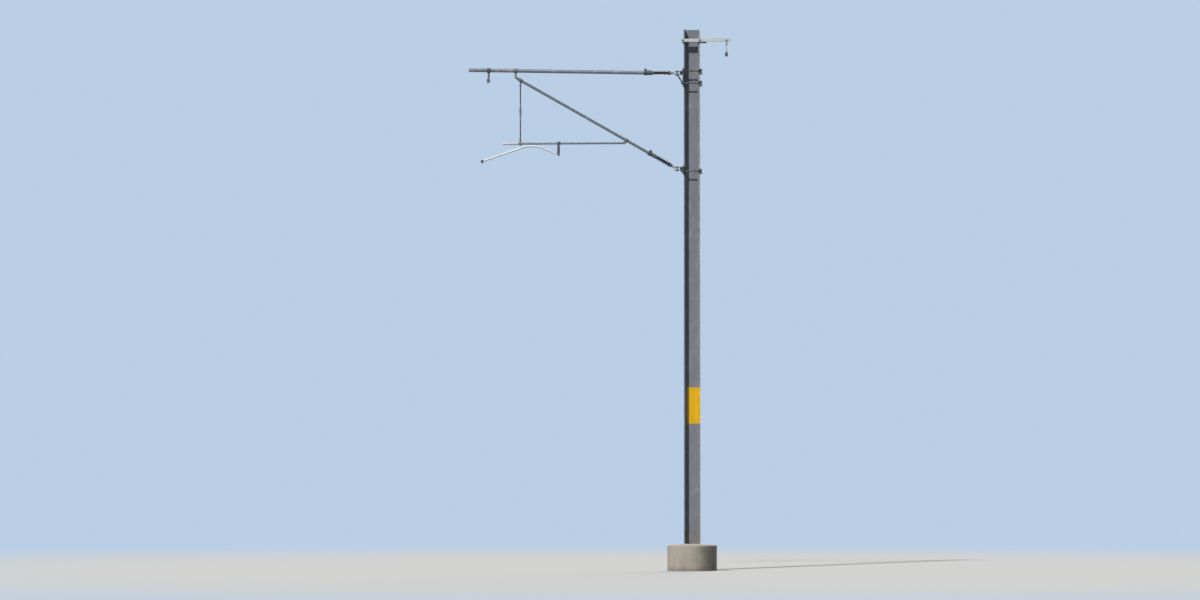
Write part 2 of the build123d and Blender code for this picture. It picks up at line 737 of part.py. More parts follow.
def hanger_fork(z_eye, down):
    """A fork with its bolt round a lug's eye. It opens up if down is 1, and down if -1."""
    half_gap = HANGER_LUG_T / 2 + CHEEK_GAP
    outer = half_gap + HANGER_FORK_T
    half_w = HANGER_LUG_W / 2
    base = z_eye - down * HANGER_FORK_LEN
    z0, z1 = sorted((z_eye, base))
    fork = block(HANGER_X - half_w, HANGER_X + half_w, -outer, outer, z0, z1)
    fork += bar_y(HANGER_LUG_W, -outer, outer, HANGER_X, z_eye)
    slot_end = z_eye - down * (half_w + 3)
    s0, s1 = sorted((z_eye + down * HANGER_LUG_W, slot_end))
    fork -= block(HANGER_X - HANGER_LUG_W, HANGER_X + HANGER_LUG_W, -half_gap, half_gap, s0, s1)
    return fork + bar_y(HANGER_PIN_D, -outer - PIN_HEAD_T, outer + PIN_HEAD_T, HANGER_X, z_eye)


def turnbuckle_z():
    """Height of the turnbuckle's middle on the hanger."""
    span = HANGER_TOP_PIN - HANGER_FOOT_PIN
    return HANGER_FOOT_PIN + TURNBUCKLE_RATIO * span


def hanger_rods():
    """The hanger's two rods with their forks, screwed into the turnbuckle."""
    reach = TURNBUCKLE_LEN / 2 - TURNBUCKLE_GRIP
    upper = hanger_fork(HANGER_TOP_PIN, 1)
    upper += bar_z(HANGER_D, turnbuckle_z() + reach, HANGER_TOP_PIN - HANGER_FORK_LEN, HANGER_X)
    lower = hanger_fork(HANGER_FOOT_PIN, -1)
    lower += bar_z(HANGER_D, HANGER_FOOT_PIN + HANGER_FORK_LEN, turnbuckle_z() - reach, HANGER_X)
    return [upper, lower]


def turnbuckle():
    """The sleeve that joins and adjusts the hanger's two rods."""
    half = TURNBUCKLE_LEN / 2
    z = turnbuckle_z()
    body = bar_z(TURNBUCKLE_D, z - half, z + half, HANGER_X)
    return body - bar_z(HANGER_D + 2 * SOCKET_GAP, z - half - 1, z + half + 1, HANGER_X)


# Steady arm

STEADY_X = SWIVEL_X - STEADY_REACH
STEADY_Z = REG_Z - STEADY_DROP
CHEEK_INNER = STEADY_EYE_T / 2 + CHEEK_GAP
CHEEK_OUTER = CHEEK_INNER + STEADY_BAR_T


def steady_bracket():
    """The clamp on the registration tube with the drop bar and the steady arm's fork."""
    x0 = STEADY_X - STEADY_BAR_W / 2
    x1 = STEADY_X + STEADY_BAR_W / 2
    radius = STEADY_BAR_W / 2
    near_y = -STEADY_OFFSET + CHEEK_INNER
    far_y = -STEADY_OFFSET - CHEEK_OUTER
    ring_d = REG_TUBE_D + 2 * RING_WALL
    body = Pos(STEADY_X, 0, REG_Z) * ring_blank(REG_TUBE_D, 0, sides=(1,))
    body += block(x0, x1, near_y, 0, REG_Z - ring_d / 2, REG_Z + ring_d / 2)
    body += block(x0, x1, near_y, near_y + STEADY_BAR_T, STEADY_Z, REG_Z)
    bridge_z = STEADY_Z + STEADY_HEADROOM
    body += block(x0, x1, far_y, near_y, bridge_z, bridge_z + STEADY_BAR_T)
    body += block(x0, x1, far_y, far_y + STEADY_BAR_T, STEADY_Z, bridge_z)
    for y in (near_y, far_y):
        body += bar_y(2 * radius, y, y + STEADY_BAR_T, STEADY_X, STEADY_Z)
    body -= Pos(STEADY_X, 0, REG_Z) * ring_bore(REG_TUBE_D, 0)
    return body - bar_y(FITTING_PIN_D + 2 * PIN_GAP, far_y - 1, 0, STEADY_X, STEADY_Z)


def steady_pin():
    """The pin that the steady arm turns on."""
    return Pos(STEADY_X, -STEADY_OFFSET, STEADY_Z) * cross_pin(FITTING_PIN_D, CHEEK_OUTER)


def steady_points():
    """The steady arm's inner end, the corner under its bend and its outer end, in X and Z."""
    rise = math.radians(STEADY_RISE)
    fall = math.radians(STEADY_FALL)
    start = (STEADY_X - STEADY_EYE_REACH * math.cos(rise),
             STEADY_Z + STEADY_EYE_REACH * math.sin(rise))
    corner = (STEADY_X - STEADY_RUN_IN, STEADY_Z + STEADY_RUN_IN * math.tan(rise))
    end = (corner[0] - STEADY_RUN_OUT, corner[1] - STEADY_RUN_OUT * math.tan(fall))
    return start, corner, end


def steady_frame(point, rise):
    """Frame at a point of the arm: X runs out along it and Z points up across it."""
    tilt = math.radians(rise)
    along = (-math.cos(tilt), 0, math.sin(tilt))
    across = (math.sin(tilt), 0, math.cos(tilt))
    origin = (point[0], -STEADY_OFFSET, point[1])
    return Plane(origin=origin, x_dir=along, z_dir=across).location


def steady_arm():
    """The arched tube of the steady arm: two straight runs and a wide bend."""
    points = [(x, -STEADY_OFFSET, z) for x, z in steady_points()]
    path = FilletPolyline(*points, radius=STEADY_BEND_R)
    ring = Circle(STEADY_D / 2) - Circle(STEADY_D / 2 - STEADY_WALL)
    return sweep(Plane(origin=path @ 0, z_dir=path % 0) * ring, path)


def steady_eye():
    """The eye fitting at the steady arm's inner end."""
    bore = STEADY_D - 2 * STEADY_WALL - 2 * SOCKET_GAP
    end = STEADY_EYE_REACH
    half = STEADY_D / 2 - 2
    eye = eye_plate(end, half, STEADY_EYE_T, STEADY_EYE_D / 2 - 3,
                    FITTING_PIN_D + 2 * PIN_GAP)
    eye += bar_x(STEADY_D, end - END_PLATE_T, end) + bar_x(bore, end, end + STEADY_PLUG_LEN)
    return steady_frame((STEADY_X, STEADY_Z), STEADY_RISE) * eye


def contact_wire():
    """Centre of the contact wire's seat, in X and Z."""
    end = steady_points()[2]
    return end[0] - CONTACT_OUT, end[1] - CONTACT_DROP


def contact_clamp():
    """The jaws that grip the contact wire, plugged into the arm's outer end."""
    end = steady_points()[2]
    x, z = contact_wire()
    half_y = CONTACT_BODY_Y / 2
    y = -STEADY_OFFSET
    bore = STEADY_D - 2 * STEADY_WALL - 2 * SOCKET_GAP
    body = block(x - CONTACT_BODY_X / 2, x + CONTACT_BODY_X / 2, y - half_y, y + half_y,
                 z - CONTACT_BODY_BELOW, z + CONTACT_BODY_ABOVE)
    body = fillet(body.edges().filter_by(Axis.Y).group_by(Axis.Z)[-1], CONTACT_BODY_X / 4)
    stem = bar_x(bore, -STEADY_PLUG_LEN, 1) + bar_x(STEADY_D, 0, CONTACT_OUT)
    body += steady_frame(end, -STEADY_FALL) * stem
    body -= bar_y(CONTACT_BORE_D, y - half_y - 1, y + half_y + 1, x, z)
    body -= block(x - CONTACT_MOUTH / 2, x + CONTACT_MOUTH / 2, y - half_y - 1, y + half_y + 1,
                  z - 2 * CONTACT_BODY_BELOW, z)
    slot_top = z + CONTACT_BODY_ABOVE - CONTACT_BODY_X / 2
    return body - block(x - CONTACT_SLOT / 2, x + CONTACT_SLOT / 2,
                        y - half_y - 1, y + half_y + 1, z, slot_top)


# Wire clamps that hang from a pin

def hanging_link(x, y, hinge_z, length):
    """Two straps with the hinge pin above and the clamp's bolt below."""
    inner = CLAMP_LUG_T / 2 + CHEEK_GAP
    outer = inner + STRAP_T
    link = bar_y(CLAMP_PIN_D, y - outer - PIN_HEAD_T, y + outer + PIN_HEAD_T, x, hinge_z)
    link += bar_y(LOWER_PIN_D, y - outer - PIN_HEAD_T, y + outer + PIN_HEAD_T,
                  x, hinge_z - length)
    for y0 in (y - outer, y + inner):
        strap = block(x - STRAP_R, x + STRAP_R, y0, y0 + STRAP_T, hinge_z - length, hinge_z)
        strap += bar_y(2 * STRAP_R, y0, y0 + STRAP_T, x, hinge_z)
        link += strap + bar_y(2 * STRAP_R, y0, y0 + STRAP_T, x, hinge_z - length)
    return link


def wire_clamp(x, y, pin_z):
    """A clamp body with a lug above and a slit bore for the wire along Y."""
    half_t = CLAMP_LUG_T / 2
    wire_z = pin_z - WIRE_DROP
    half_y = WIRE_BODY_Y / 2
    body = block(x - WIRE_BODY_X / 2, x + WIRE_BODY_X / 2, y - half_y, y + half_y,
                 wire_z - WIRE_BODY_H / 2, wire_z + WIRE_BODY_H / 2)
    body = fillet(body.edges().filter_by(Axis.Y), WIRE_BODY_H / 4)
    body += block(x - STRAP_R, x + STRAP_R, y - half_t, y + half_t, wire_z, pin_z)
    body += bar_y(2 * STRAP_R, y - half_t, y + half_t, x, pin_z)
    body -= bar_y(LOWER_PIN_D + 2 * PIN_GAP, y - half_t - 1, y + half_t + 1, x, pin_z)
    body -= bar_y(WIRE_BORE_D, y - half_y - 1, y + half_y + 1, x, wire_z)
    return body - block(x - WIRE_BODY_X, x, y - half_y - 1, y + half_y + 1,
                        wire_z - WIRE_SLIT / 2, wire_z + WIRE_SLIT / 2)


MESSENGER_X = SWIVEL_X - MESSENGER_REACH
MESSENGER_HINGE_Z = top_tube_z(MESSENGER_REACH) - MESSENGER_HINGE_DROP


def messenger_saddle():
    """The clamp on the top tube that the messenger wire's clamp hangs from."""
    middle = along_top_tube(MESSENGER_REACH)
    axis_z = top_tube_z(MESSENGER_REACH)
    half = CLAMP_LUG_T / 2
    body = TOP_FRAME * ring_blank(TOP_TUBE_D, middle)
    body += block(MESSENGER_X - CLAMP_LUG_R, MESSENGER_X + CLAMP_LUG_R, -half, half,
                  MESSENGER_HINGE_Z, axis_z)
    body += bar_y(2 * CLAMP_LUG_R, -half, half, MESSENGER_X, MESSENGER_HINGE_Z)
    body -= TOP_FRAME * ring_bore(TOP_TUBE_D, middle)
    return body - bar_y(CLAMP_PIN_D + 2 * PIN_GAP, -half - 1, half + 1,
                        MESSENGER_X, MESSENGER_HINGE_Z)


# Wire bracket near the post's top

CROSSARM_TOP = POST_TOP - CROSSARM_DROP
CROSSARM_Z = CROSSARM_TOP - ANGLE_LEG
CROSSARM_ROD_X = FLANGE_X + ROD_GAP + CROSSARM_ROD_D / 2
CROSSARM_ROD_Z = CROSSARM_Z + CROSSARM_ROD_UP
CROSSARM_LEFT = -CROSSARM_ROD_X - CROSSARM_ROD_EDGE
SUSPENSION_Y = -TIP_Y - ANGLE_LEG + SUSPENSION_Y_IN
SUSPENSION_HINGE_Z = CROSSARM_Z - SUSPENSION_HINGE_DROP


def crossarm_rod_holes(y0, y1):
    """Clearance holes for the two rods between two Y planes."""
    hole_d = CROSSARM_ROD_D + ROD_HOLE_GAP
    holes = bar_y(hole_d, y0, y1, -CROSSARM_ROD_X, CROSSARM_ROD_Z)
    return holes + bar_y(hole_d, y0, y1, CROSSARM_ROD_X, CROSSARM_ROD_Z)


def crossarm():
    """The angle bar across the post, its upright leg on the flange tips."""
    front = -TIP_Y - ANGLE_LEG
    bar = block(CROSSARM_LEFT, CROSSARM_OUT, front, -TIP_Y, CROSSARM_Z, CROSSARM_TOP)
    hollow = block(CROSSARM_LEFT - 1, CROSSARM_OUT + 1, front - ANGLE_ROOT, -TIP_Y - ANGLE_T,
                   CROSSARM_Z + ANGLE_T, CROSSARM_TOP + ANGLE_ROOT)
    root = hollow.edges().filter_by(Axis.X).group_by(Axis.Z)[0].sort_by(Axis.Y)[-1]
    bar -= fillet(root, ANGLE_ROOT)
    bar -= crossarm_rod_holes(-TIP_Y - ANGLE_T - 1, 1 - TIP_Y)
    return bar - bar_z(EYE_BOLT_D + ROD_HOLE_GAP, CROSSARM_Z - 1, CROSSARM_Z + ANGLE_T + 1,
                       SUSPENSION_X, SUSPENSION_Y)


def crossarm_back_bar():
    """The flat bar behind the post that the bracket's rods pull against, longer on one side."""
    right = CROSSARM_ROD_X + BACK_BAR_TAIL
    z0 = CROSSARM_ROD_Z - BACK_BAR_H / 2
    bar = block(CROSSARM_LEFT, right, TIP_Y, TIP_Y + BACK_BAR_T, z0, z0 + BACK_BAR_H)
    return bar - crossarm_rod_holes(TIP_Y - 1, TIP_Y + BACK_BAR_T + 1)


def crossarm_rods():
    """The two rods beside the post, with a nut at each end."""
    front = -TIP_Y - ANGLE_T
    back = TIP_Y + BACK_BAR_T
    rods = []
    for x in (-CROSSARM_ROD_X, CROSSARM_ROD_X):
        rod = bar_y(CROSSARM_ROD_D, front - CROSSARM_NUT_T - ROD_TAIL,
                    back + CROSSARM_NUT_T + ROD_TAIL, x, CROSSARM_ROD_Z)
        for y in (front - CROSSARM_NUT_T / 2, back + CROSSARM_NUT_T / 2):
            turned = Rot(90, 0, 0) * nut(CROSSARM_NUT_AF, CROSSARM_NUT_T)
            rod += Pos(x, y, CROSSARM_ROD_Z) * turned
        rods.append(rod)
    return rods


def suspension_eye_bolt():
    """The eye bolt through the bracket's level leg."""
    x = SUSPENSION_X
    y = SUSPENSION_Y
    half = CLAMP_LUG_T / 2
    top = CROSSARM_Z + ANGLE_T
    shank_start = SUSPENSION_HINGE_Z + STRAP_R + 1
    bolt = bar_z(EYE_BOLT_D, shank_start, top + CROSSARM_NUT_T + ROD_TAIL, x, y)
    bolt += bar_z(EYE_BOLT_COLLAR_D, CROSSARM_Z - EYE_BOLT_COLLAR_T, CROSSARM_Z, x, y)
    bolt += Pos(x, y, top + CROSSARM_NUT_T / 2) * nut(CROSSARM_NUT_AF, CROSSARM_NUT_T)
    bolt += bar_y(2 * CLAMP_LUG_R, y - half, y + half, x, SUSPENSION_HINGE_Z)
    return bolt - bar_y(CLAMP_PIN_D + 2 * PIN_GAP, y - half - 1, y + half + 1,
                        x, SUSPENSION_HINGE_Z)


# Every piece by name

def pieces():
    """All sub-parts: a name and its solids."""
    upper_rods = [rod for z in upper_rod_heights() for rod in clamp_rods(z)]
    suspension_pin_z = SUSPENSION_HINGE_Z - SUSPENSION_LINK
    messenger_pin_z = MESSENGER_HINGE_Z - MESSENGER_LINK
    return {
        "foundation": [foundation()],
        "post": [post()],
        "upper_bracket": [upper_bracket()],
        "upper_clamp_bars": [channel_bar(z) for z in upper_rod_heights()],
        "upper_clamp_rods": upper_rods,
        "upper_swivel_pin": [swivel_pin(UPPER_PIVOT_Z)],
        "lower_bracket": [lower_bracket()],
        "lower_clamp_bar": [channel_bar(lower_rod_height())],
        "lower_clamp_rods": clamp_rods(lower_rod_height()),
        "lower_swivel_pin": [swivel_pin(LOWER_PIVOT_Z)],
        "crossarm": [crossarm()],
        "crossarm_back_bar": [crossarm_back_bar()],
        "crossarm_rods": crossarm_rods(),
        "suspension_eye_bolt": [suspension_eye_bolt()],
        "upper_swivel_head": [swivel_head(UPPER_PIVOT_Z, TOP_FRAME)],
        "upper_head_pin": [head_pin(TOP_FRAME)],
        "upper_insulator_inner_cap": [TOP_FRAME * inner_cap()],
        "upper_insulator": [TOP_FRAME * insulator()],
        "upper_insulator_socket": [TOP_FRAME * outer_cap(TOP_TUBE_D)],
        "top_tube": [top_tube()],
        "top_tube_plug": [top_tube_plug()],
        "lower_swivel_head": [swivel_head(LOWER_PIVOT_Z, STRUT_FRAME)],
        "lower_head_pin": [head_pin(STRUT_FRAME)],
        "lower_insulator_inner_cap": [STRUT_FRAME * inner_cap()],
        "lower_insulator": [STRUT_FRAME * insulator()],
        "lower_insulator_socket": [STRUT_FRAME * outer_cap(STRUT_D)],
        "strut": [strut()],
        "strut_eye": [strut_eye()],
        "strut_clamp": [strut_clamp()],
        "strut_clamp_pin": [strut_clamp_pin()],
        "registration_clamp": [registration_clamp()],
        "registration_pin": [registration_pin()],
        "registration_eye": [registration_eye()],
        "registration_tube": [registration_tube()],
        "registration_sleeve": [registration_sleeve()],
        "hanger_top_clamp": [hanger_top_clamp()],
        "hanger_rods": hanger_rods(),
        "hanger_turnbuckle": [turnbuckle()],
        "hanger_foot_clamp": [hanger_foot_clamp()],
        "steady_bracket": [steady_bracket()],
        "steady_pin": [steady_pin()],
        "messenger_saddle": [messenger_saddle()],
        "steady_eye": [steady_eye()],
        "steady_arm": [steady_arm()],
        "contact_wire_clamp": [contact_clamp()],
        "messenger_link": [hanging_link(MESSENGER_X, 0, MESSENGER_HINGE_Z, MESSENGER_LINK)],
        "messenger_clamp": [wire_clamp(MESSENGER_X, 0, messenger_pin_z)],
        "suspension_link": [hanging_link(SUSPENSION_X, SUSPENSION_Y, SUSPENSION_HINGE_Z,
                                         SUSPENSION_LINK)],
        "suspension_clamp": [wire_clamp(SUSPENSION_X, SUSPENSION_Y, suspension_pin_z)],
    }


def main():
    os.makedirs("parts", exist_ok=True)
    for name, shapes in pieces().items():
        solids = [solid for shape in shapes for solid in shape.solids()]
        piece = solids[0] if len(solids) == 1 else Compound(children=solids)
        export_step(piece, f"parts/{name}.step")


main()
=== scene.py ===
import json
import math

import bmesh
import bpy
import numpy as np
from mathutils import Matrix, Vector


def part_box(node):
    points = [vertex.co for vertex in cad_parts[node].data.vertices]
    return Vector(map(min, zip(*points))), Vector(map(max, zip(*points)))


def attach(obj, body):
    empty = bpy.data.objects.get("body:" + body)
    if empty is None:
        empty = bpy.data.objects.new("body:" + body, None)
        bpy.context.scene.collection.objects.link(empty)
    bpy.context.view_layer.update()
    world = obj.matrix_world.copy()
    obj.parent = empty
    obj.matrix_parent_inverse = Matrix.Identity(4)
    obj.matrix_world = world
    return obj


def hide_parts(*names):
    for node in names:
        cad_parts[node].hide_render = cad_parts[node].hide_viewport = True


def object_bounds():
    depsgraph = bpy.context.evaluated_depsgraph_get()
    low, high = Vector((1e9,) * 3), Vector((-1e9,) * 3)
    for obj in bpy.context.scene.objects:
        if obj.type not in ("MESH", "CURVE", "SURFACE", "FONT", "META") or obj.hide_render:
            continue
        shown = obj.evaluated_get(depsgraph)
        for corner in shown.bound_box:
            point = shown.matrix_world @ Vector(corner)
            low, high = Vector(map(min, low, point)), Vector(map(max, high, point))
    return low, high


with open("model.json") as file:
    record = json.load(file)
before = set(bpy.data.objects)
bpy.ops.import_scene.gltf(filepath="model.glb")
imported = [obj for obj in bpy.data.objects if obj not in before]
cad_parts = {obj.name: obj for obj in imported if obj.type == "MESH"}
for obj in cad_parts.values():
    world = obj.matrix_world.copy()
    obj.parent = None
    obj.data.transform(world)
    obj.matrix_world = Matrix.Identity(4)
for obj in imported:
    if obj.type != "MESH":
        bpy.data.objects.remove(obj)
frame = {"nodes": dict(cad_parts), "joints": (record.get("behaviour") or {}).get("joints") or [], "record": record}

# A railway catenary mast: galvanised steel post in a concrete foundation, with a yellow
# painted band, a hinged tubular cantilever and a wire bracket near its top.
# Lengths are in metres. The frame carries the main shapes. This script gives them their
# materials and adds bolts, threads, washers, welds, split pins and cement joints.

CAD_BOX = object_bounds()
JOINTS = {joint["name"]: joint for joint in frame["joints"]}
TOP_OF_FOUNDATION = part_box("foundation")[1].z
X_AXIS = Vector((1, 0, 0))
Y_AXIS = Vector((0, 1, 0))
Z_AXIS = Vector((0, 0, 1))

# Yellow band on the post: its heights, its left end and how soft its edges are
BAND_LOW = 2.28
BAND_HIGH = 2.84
BAND_LEFT = -0.078
BAND_BLUR = 0.002
BAND_SIDE_BLUR = 0.004

# Foundation: the mould's seam, where the greenish painted shade on the +X side starts and is full, and the pale
# rim
SEAM_X = 0.245
SHADE_START_X = 0.06
SHADE_FULL_X = 0.28
RIM_HEIGHT = 0.05

# Mortar round the post's foot: how far out, how thick, and the rings of its mound as
# distance from the post and height above the foundation
MORTAR_OUT = 0.045
MORTAR_T = 0.016
MORTAR_RINGS = (
    (MORTAR_OUT, -0.002),
    (0.8 * MORTAR_OUT, 0.004),
    (0.35 * MORTAR_OUT, 0.011),
    (0.004, MORTAR_T),
    (-0.02, MORTAR_T),
)
MORTAR_POINTS = 64
MORTAR_CORNER = 1.30
MORTAR_WAVE = 0.05
MORTAR_RIPPLE = 0.035
MORTAR_UNEVEN = 0.0012

# Bolts, nuts, washers and threads; the values named PER_D are parts of the diameter
M8 = 0.008
M10 = 0.010
M12 = 0.012
M16 = 0.016
NUT_PER_D = 0.8
HEAD_PER_D = 0.64
ACROSS_PER_D = 1.55
SPARE_PER_D = 0.4
WASHER_PER_D = 2.1
WASHER_T = 0.0025
THREAD_PER_D = 0.125
THREAD_DEPTH = 0.6
THREAD_TIP = 1.4
THREAD_IN_NUT = 0.1
STEPS_PER_TURN = 4
ROUND = 24
HEX_POINTS = 48
HEX_CORNER_DROP = math.tan(math.radians(30))
HEX_FACE = 0.97

# Clamp rods: how far the thread goes in from the nut, and the plain middle's share
INNER_THREAD = 0.040
SHANK_SHARE = 0.97

# Ears of the clamps round the tubes
BORE_GAP = 0.0006
EAR_REACH = 0.025
EAR_HALF_T = 0.012
EAR_T = 0.0205
EAR_BOLT_IN = 0.012
COLLAR_BOLT_IN = 0.010

# Pins, links and wire clamps
PIN_THREAD_D = 0.0155
PIN_THREAD = 0.006
PIN_HOLE_OUT = 0.0035
PIN_HOLE_SPARE = 0.001
SPLIT_R = 0.0016
SWIVEL_SPLIT_R = 0.002
SWIVEL_SPLIT_REACH = 0.0185
SWIVEL_HOLE_UP = 0.004
SPLIT_SIDES = 6
SPLIT_EYE = 3
SPLIT_EYE_STEPS = 12
SPLIT_EYE_START = 45
SPLIT_EYE_TURN = 270
STUB = 0.008
STUB_COVER = 0.0005
STUB_GAP = 0.0002
STUB_THREAD_IN = 0.0004
STUB_THREAD = 0.005
JAW_BOLT_IN = 0.009
JAW_BOLT_APART = 0.034
CONTACT_BOLT_UP = 0.0265
CONTACT_BOLT_APART = 0.0215
EYE_THREAD_D = 0.0178
EYE_THREAD = 0.0118
EYE_THREAD_DOWN = 0.0125

# The hanger's lock nuts and threads
LOCK_NUT_ACROSS = 0.032
LOCK_NUT_T = 0.011
HANGER_THREAD_D = 0.0228
HANGER_THREAD = 0.055
HANGER_THREAD_OUT = 0.010

# Welds
BEAD_R = 0.004
FINE_BEAD_R = 0.003
BEAD_STEP = 0.002
BEAD_RIPPLE = 0.006
BEAD_WAVE = 0.10
BEAD_END = 0.55
BEAD_SIDES = 8
ARM_END = 0.004

# The brackets' plates, lugs, braces and gussets, where the welds go
PLATE_T = 0.014
LUG_T = 0.010
PIN_PAST_LUG = 0.010
BRACE_T = 0.010
BRACE_HALF = 0.018
GUSSET_HALF_T = 0.005
GUSSET_OUT = 0.050
GUSSET_FOOT = 0.012

# Cement between an insulator and its caps, as radius and height of each ring
CAP_R = 0.029
CORE_R = 0.021
CEMENT_T = 0.003
CEMENT_RINGS = (
    (CAP_R * 0.86, -0.002),
    (CAP_R * 0.86, 0.0005),
    (CORE_R + 0.002, CEMENT_T),
    (CORE_R * 0.98, CEMENT_T),
)
CEMENT_POINTS = 40

# Measuring: points this near belong to the same face, the same end, or the same point
SAME_FACE = 1e-4
SAME_END = 0.001
SAME_POINT = 1e-6

# Meshes: when an axis counts as lying along Y, and from which angle an edge stays sharp
NEARLY_ALONG = 0.9
SHARP_ANGLE = math.radians(32)

# Floor, lamps, sky and camera; each lamp has its azimuth, elevation, strength and how
# wide it looks, with all angles in degrees
BACKDROP = (0.49, 0.62, 0.79, 1.0)
FLOOR_R = 400.0
FLOOR_POINTS = 96
FLOOR_DROP = 0.0005
FLOOR_NEAR = 7.0
FLOOR_FAR = 24.0
FLOOR_SEEN = (0.62, 0.62, 0.60, 1.0)
FLOOR_BOUNCE = (0.22, 0.22, 0.21, 1.0)
SUNS = {
    "key": (-26.0, 42.0, 2.6, 3.0),
    "fill": (165.0, 25.0, 2.1, 50.0),
    "side": (-110.0, 10.0, 0.5, 50.0),
}
SKY_COLOUR = (0.93, 0.96, 1.0, 1.0)
SKY_STRENGTH = 0.19
CAMERA_AZIMUTH = 3.8
CAMERA_HEIGHT = 1.71
CAMERA_DISTANCE = 73.0
SENSOR_WIDTH = 36.0
PICTURE_ASPECT = 2.0
FRAME_FILL = 0.90
CAMERA_END = 1000.0


# Colours

def display(red, green, blue):
    """A shader colour from display values between 0 and 255, by the usual display curve."""
    linear = []
    for value in (red, green, blue):
        value /= 255
        low = value / 12.92
        high = ((value + 0.055) / 1.055) ** 2.4
        linear.append(low if value <= 0.04045 else high)
    return (*linear, 1.0)


ZINC_BLOOM = display(186, 188, 192)
ZINC_SCUFF = display(96, 98, 102)
ZINC_WORN = display(198, 200, 202)
# grime and painted shade, laid into corners and recesses of the zinc
GRIME_AND_CORNER_SHADE = display(62, 58, 54)
POST_GREY = display(139, 142, 148)
BAND_YELLOW = display(240, 193, 40)
BAND_FADED = display(206, 178, 84)
SPLASHED_EARTH = display(126, 114, 98)
CONCRETE_GREY = display(184, 174, 160)
CONCRETE_SEAM = display(120, 112, 100)
CONCRETE_TINT = display(158, 156, 146)
# painted shade for the insides of the air holes
CONCRETE_HOLE_SHADE = display(84, 78, 70)
CONCRETE_DAMP = display(112, 101, 86)
# painted shade: a darker greenish grey for the foundation's +X side
CONCRETE_SHADED_SIDE = display(88, 91, 80)
CONCRETE_RIM = display(201, 193, 180)
CONCRETE_CHIP = display(206, 199, 188)
GLAZE_BROWN = display(57, 45, 41)
GLAZE_DUST = display(136, 128, 118)
ALUMINIUM = display(226, 228, 230)
ALUMINIUM_DULL = display(190, 192, 194)
BRONZE = display(98, 80, 62)
BRONZE_GREEN = display(96, 112, 100)

# The mix node's colour sockets share their names with others, so they go by number
MIX_FIRST = 6
MIX_SECOND = 7
MIX_RESULT = 2

# How finely corners and edges are sampled, and where an edge starts to show and shows in
# full, as the cosine of the angle between the rounded surface and the face
CORNER_SAMPLES = 6
EDGE_SAMPLES = 4
EDGE_START = 0.97
EDGE_FULL = 0.80


# Materials

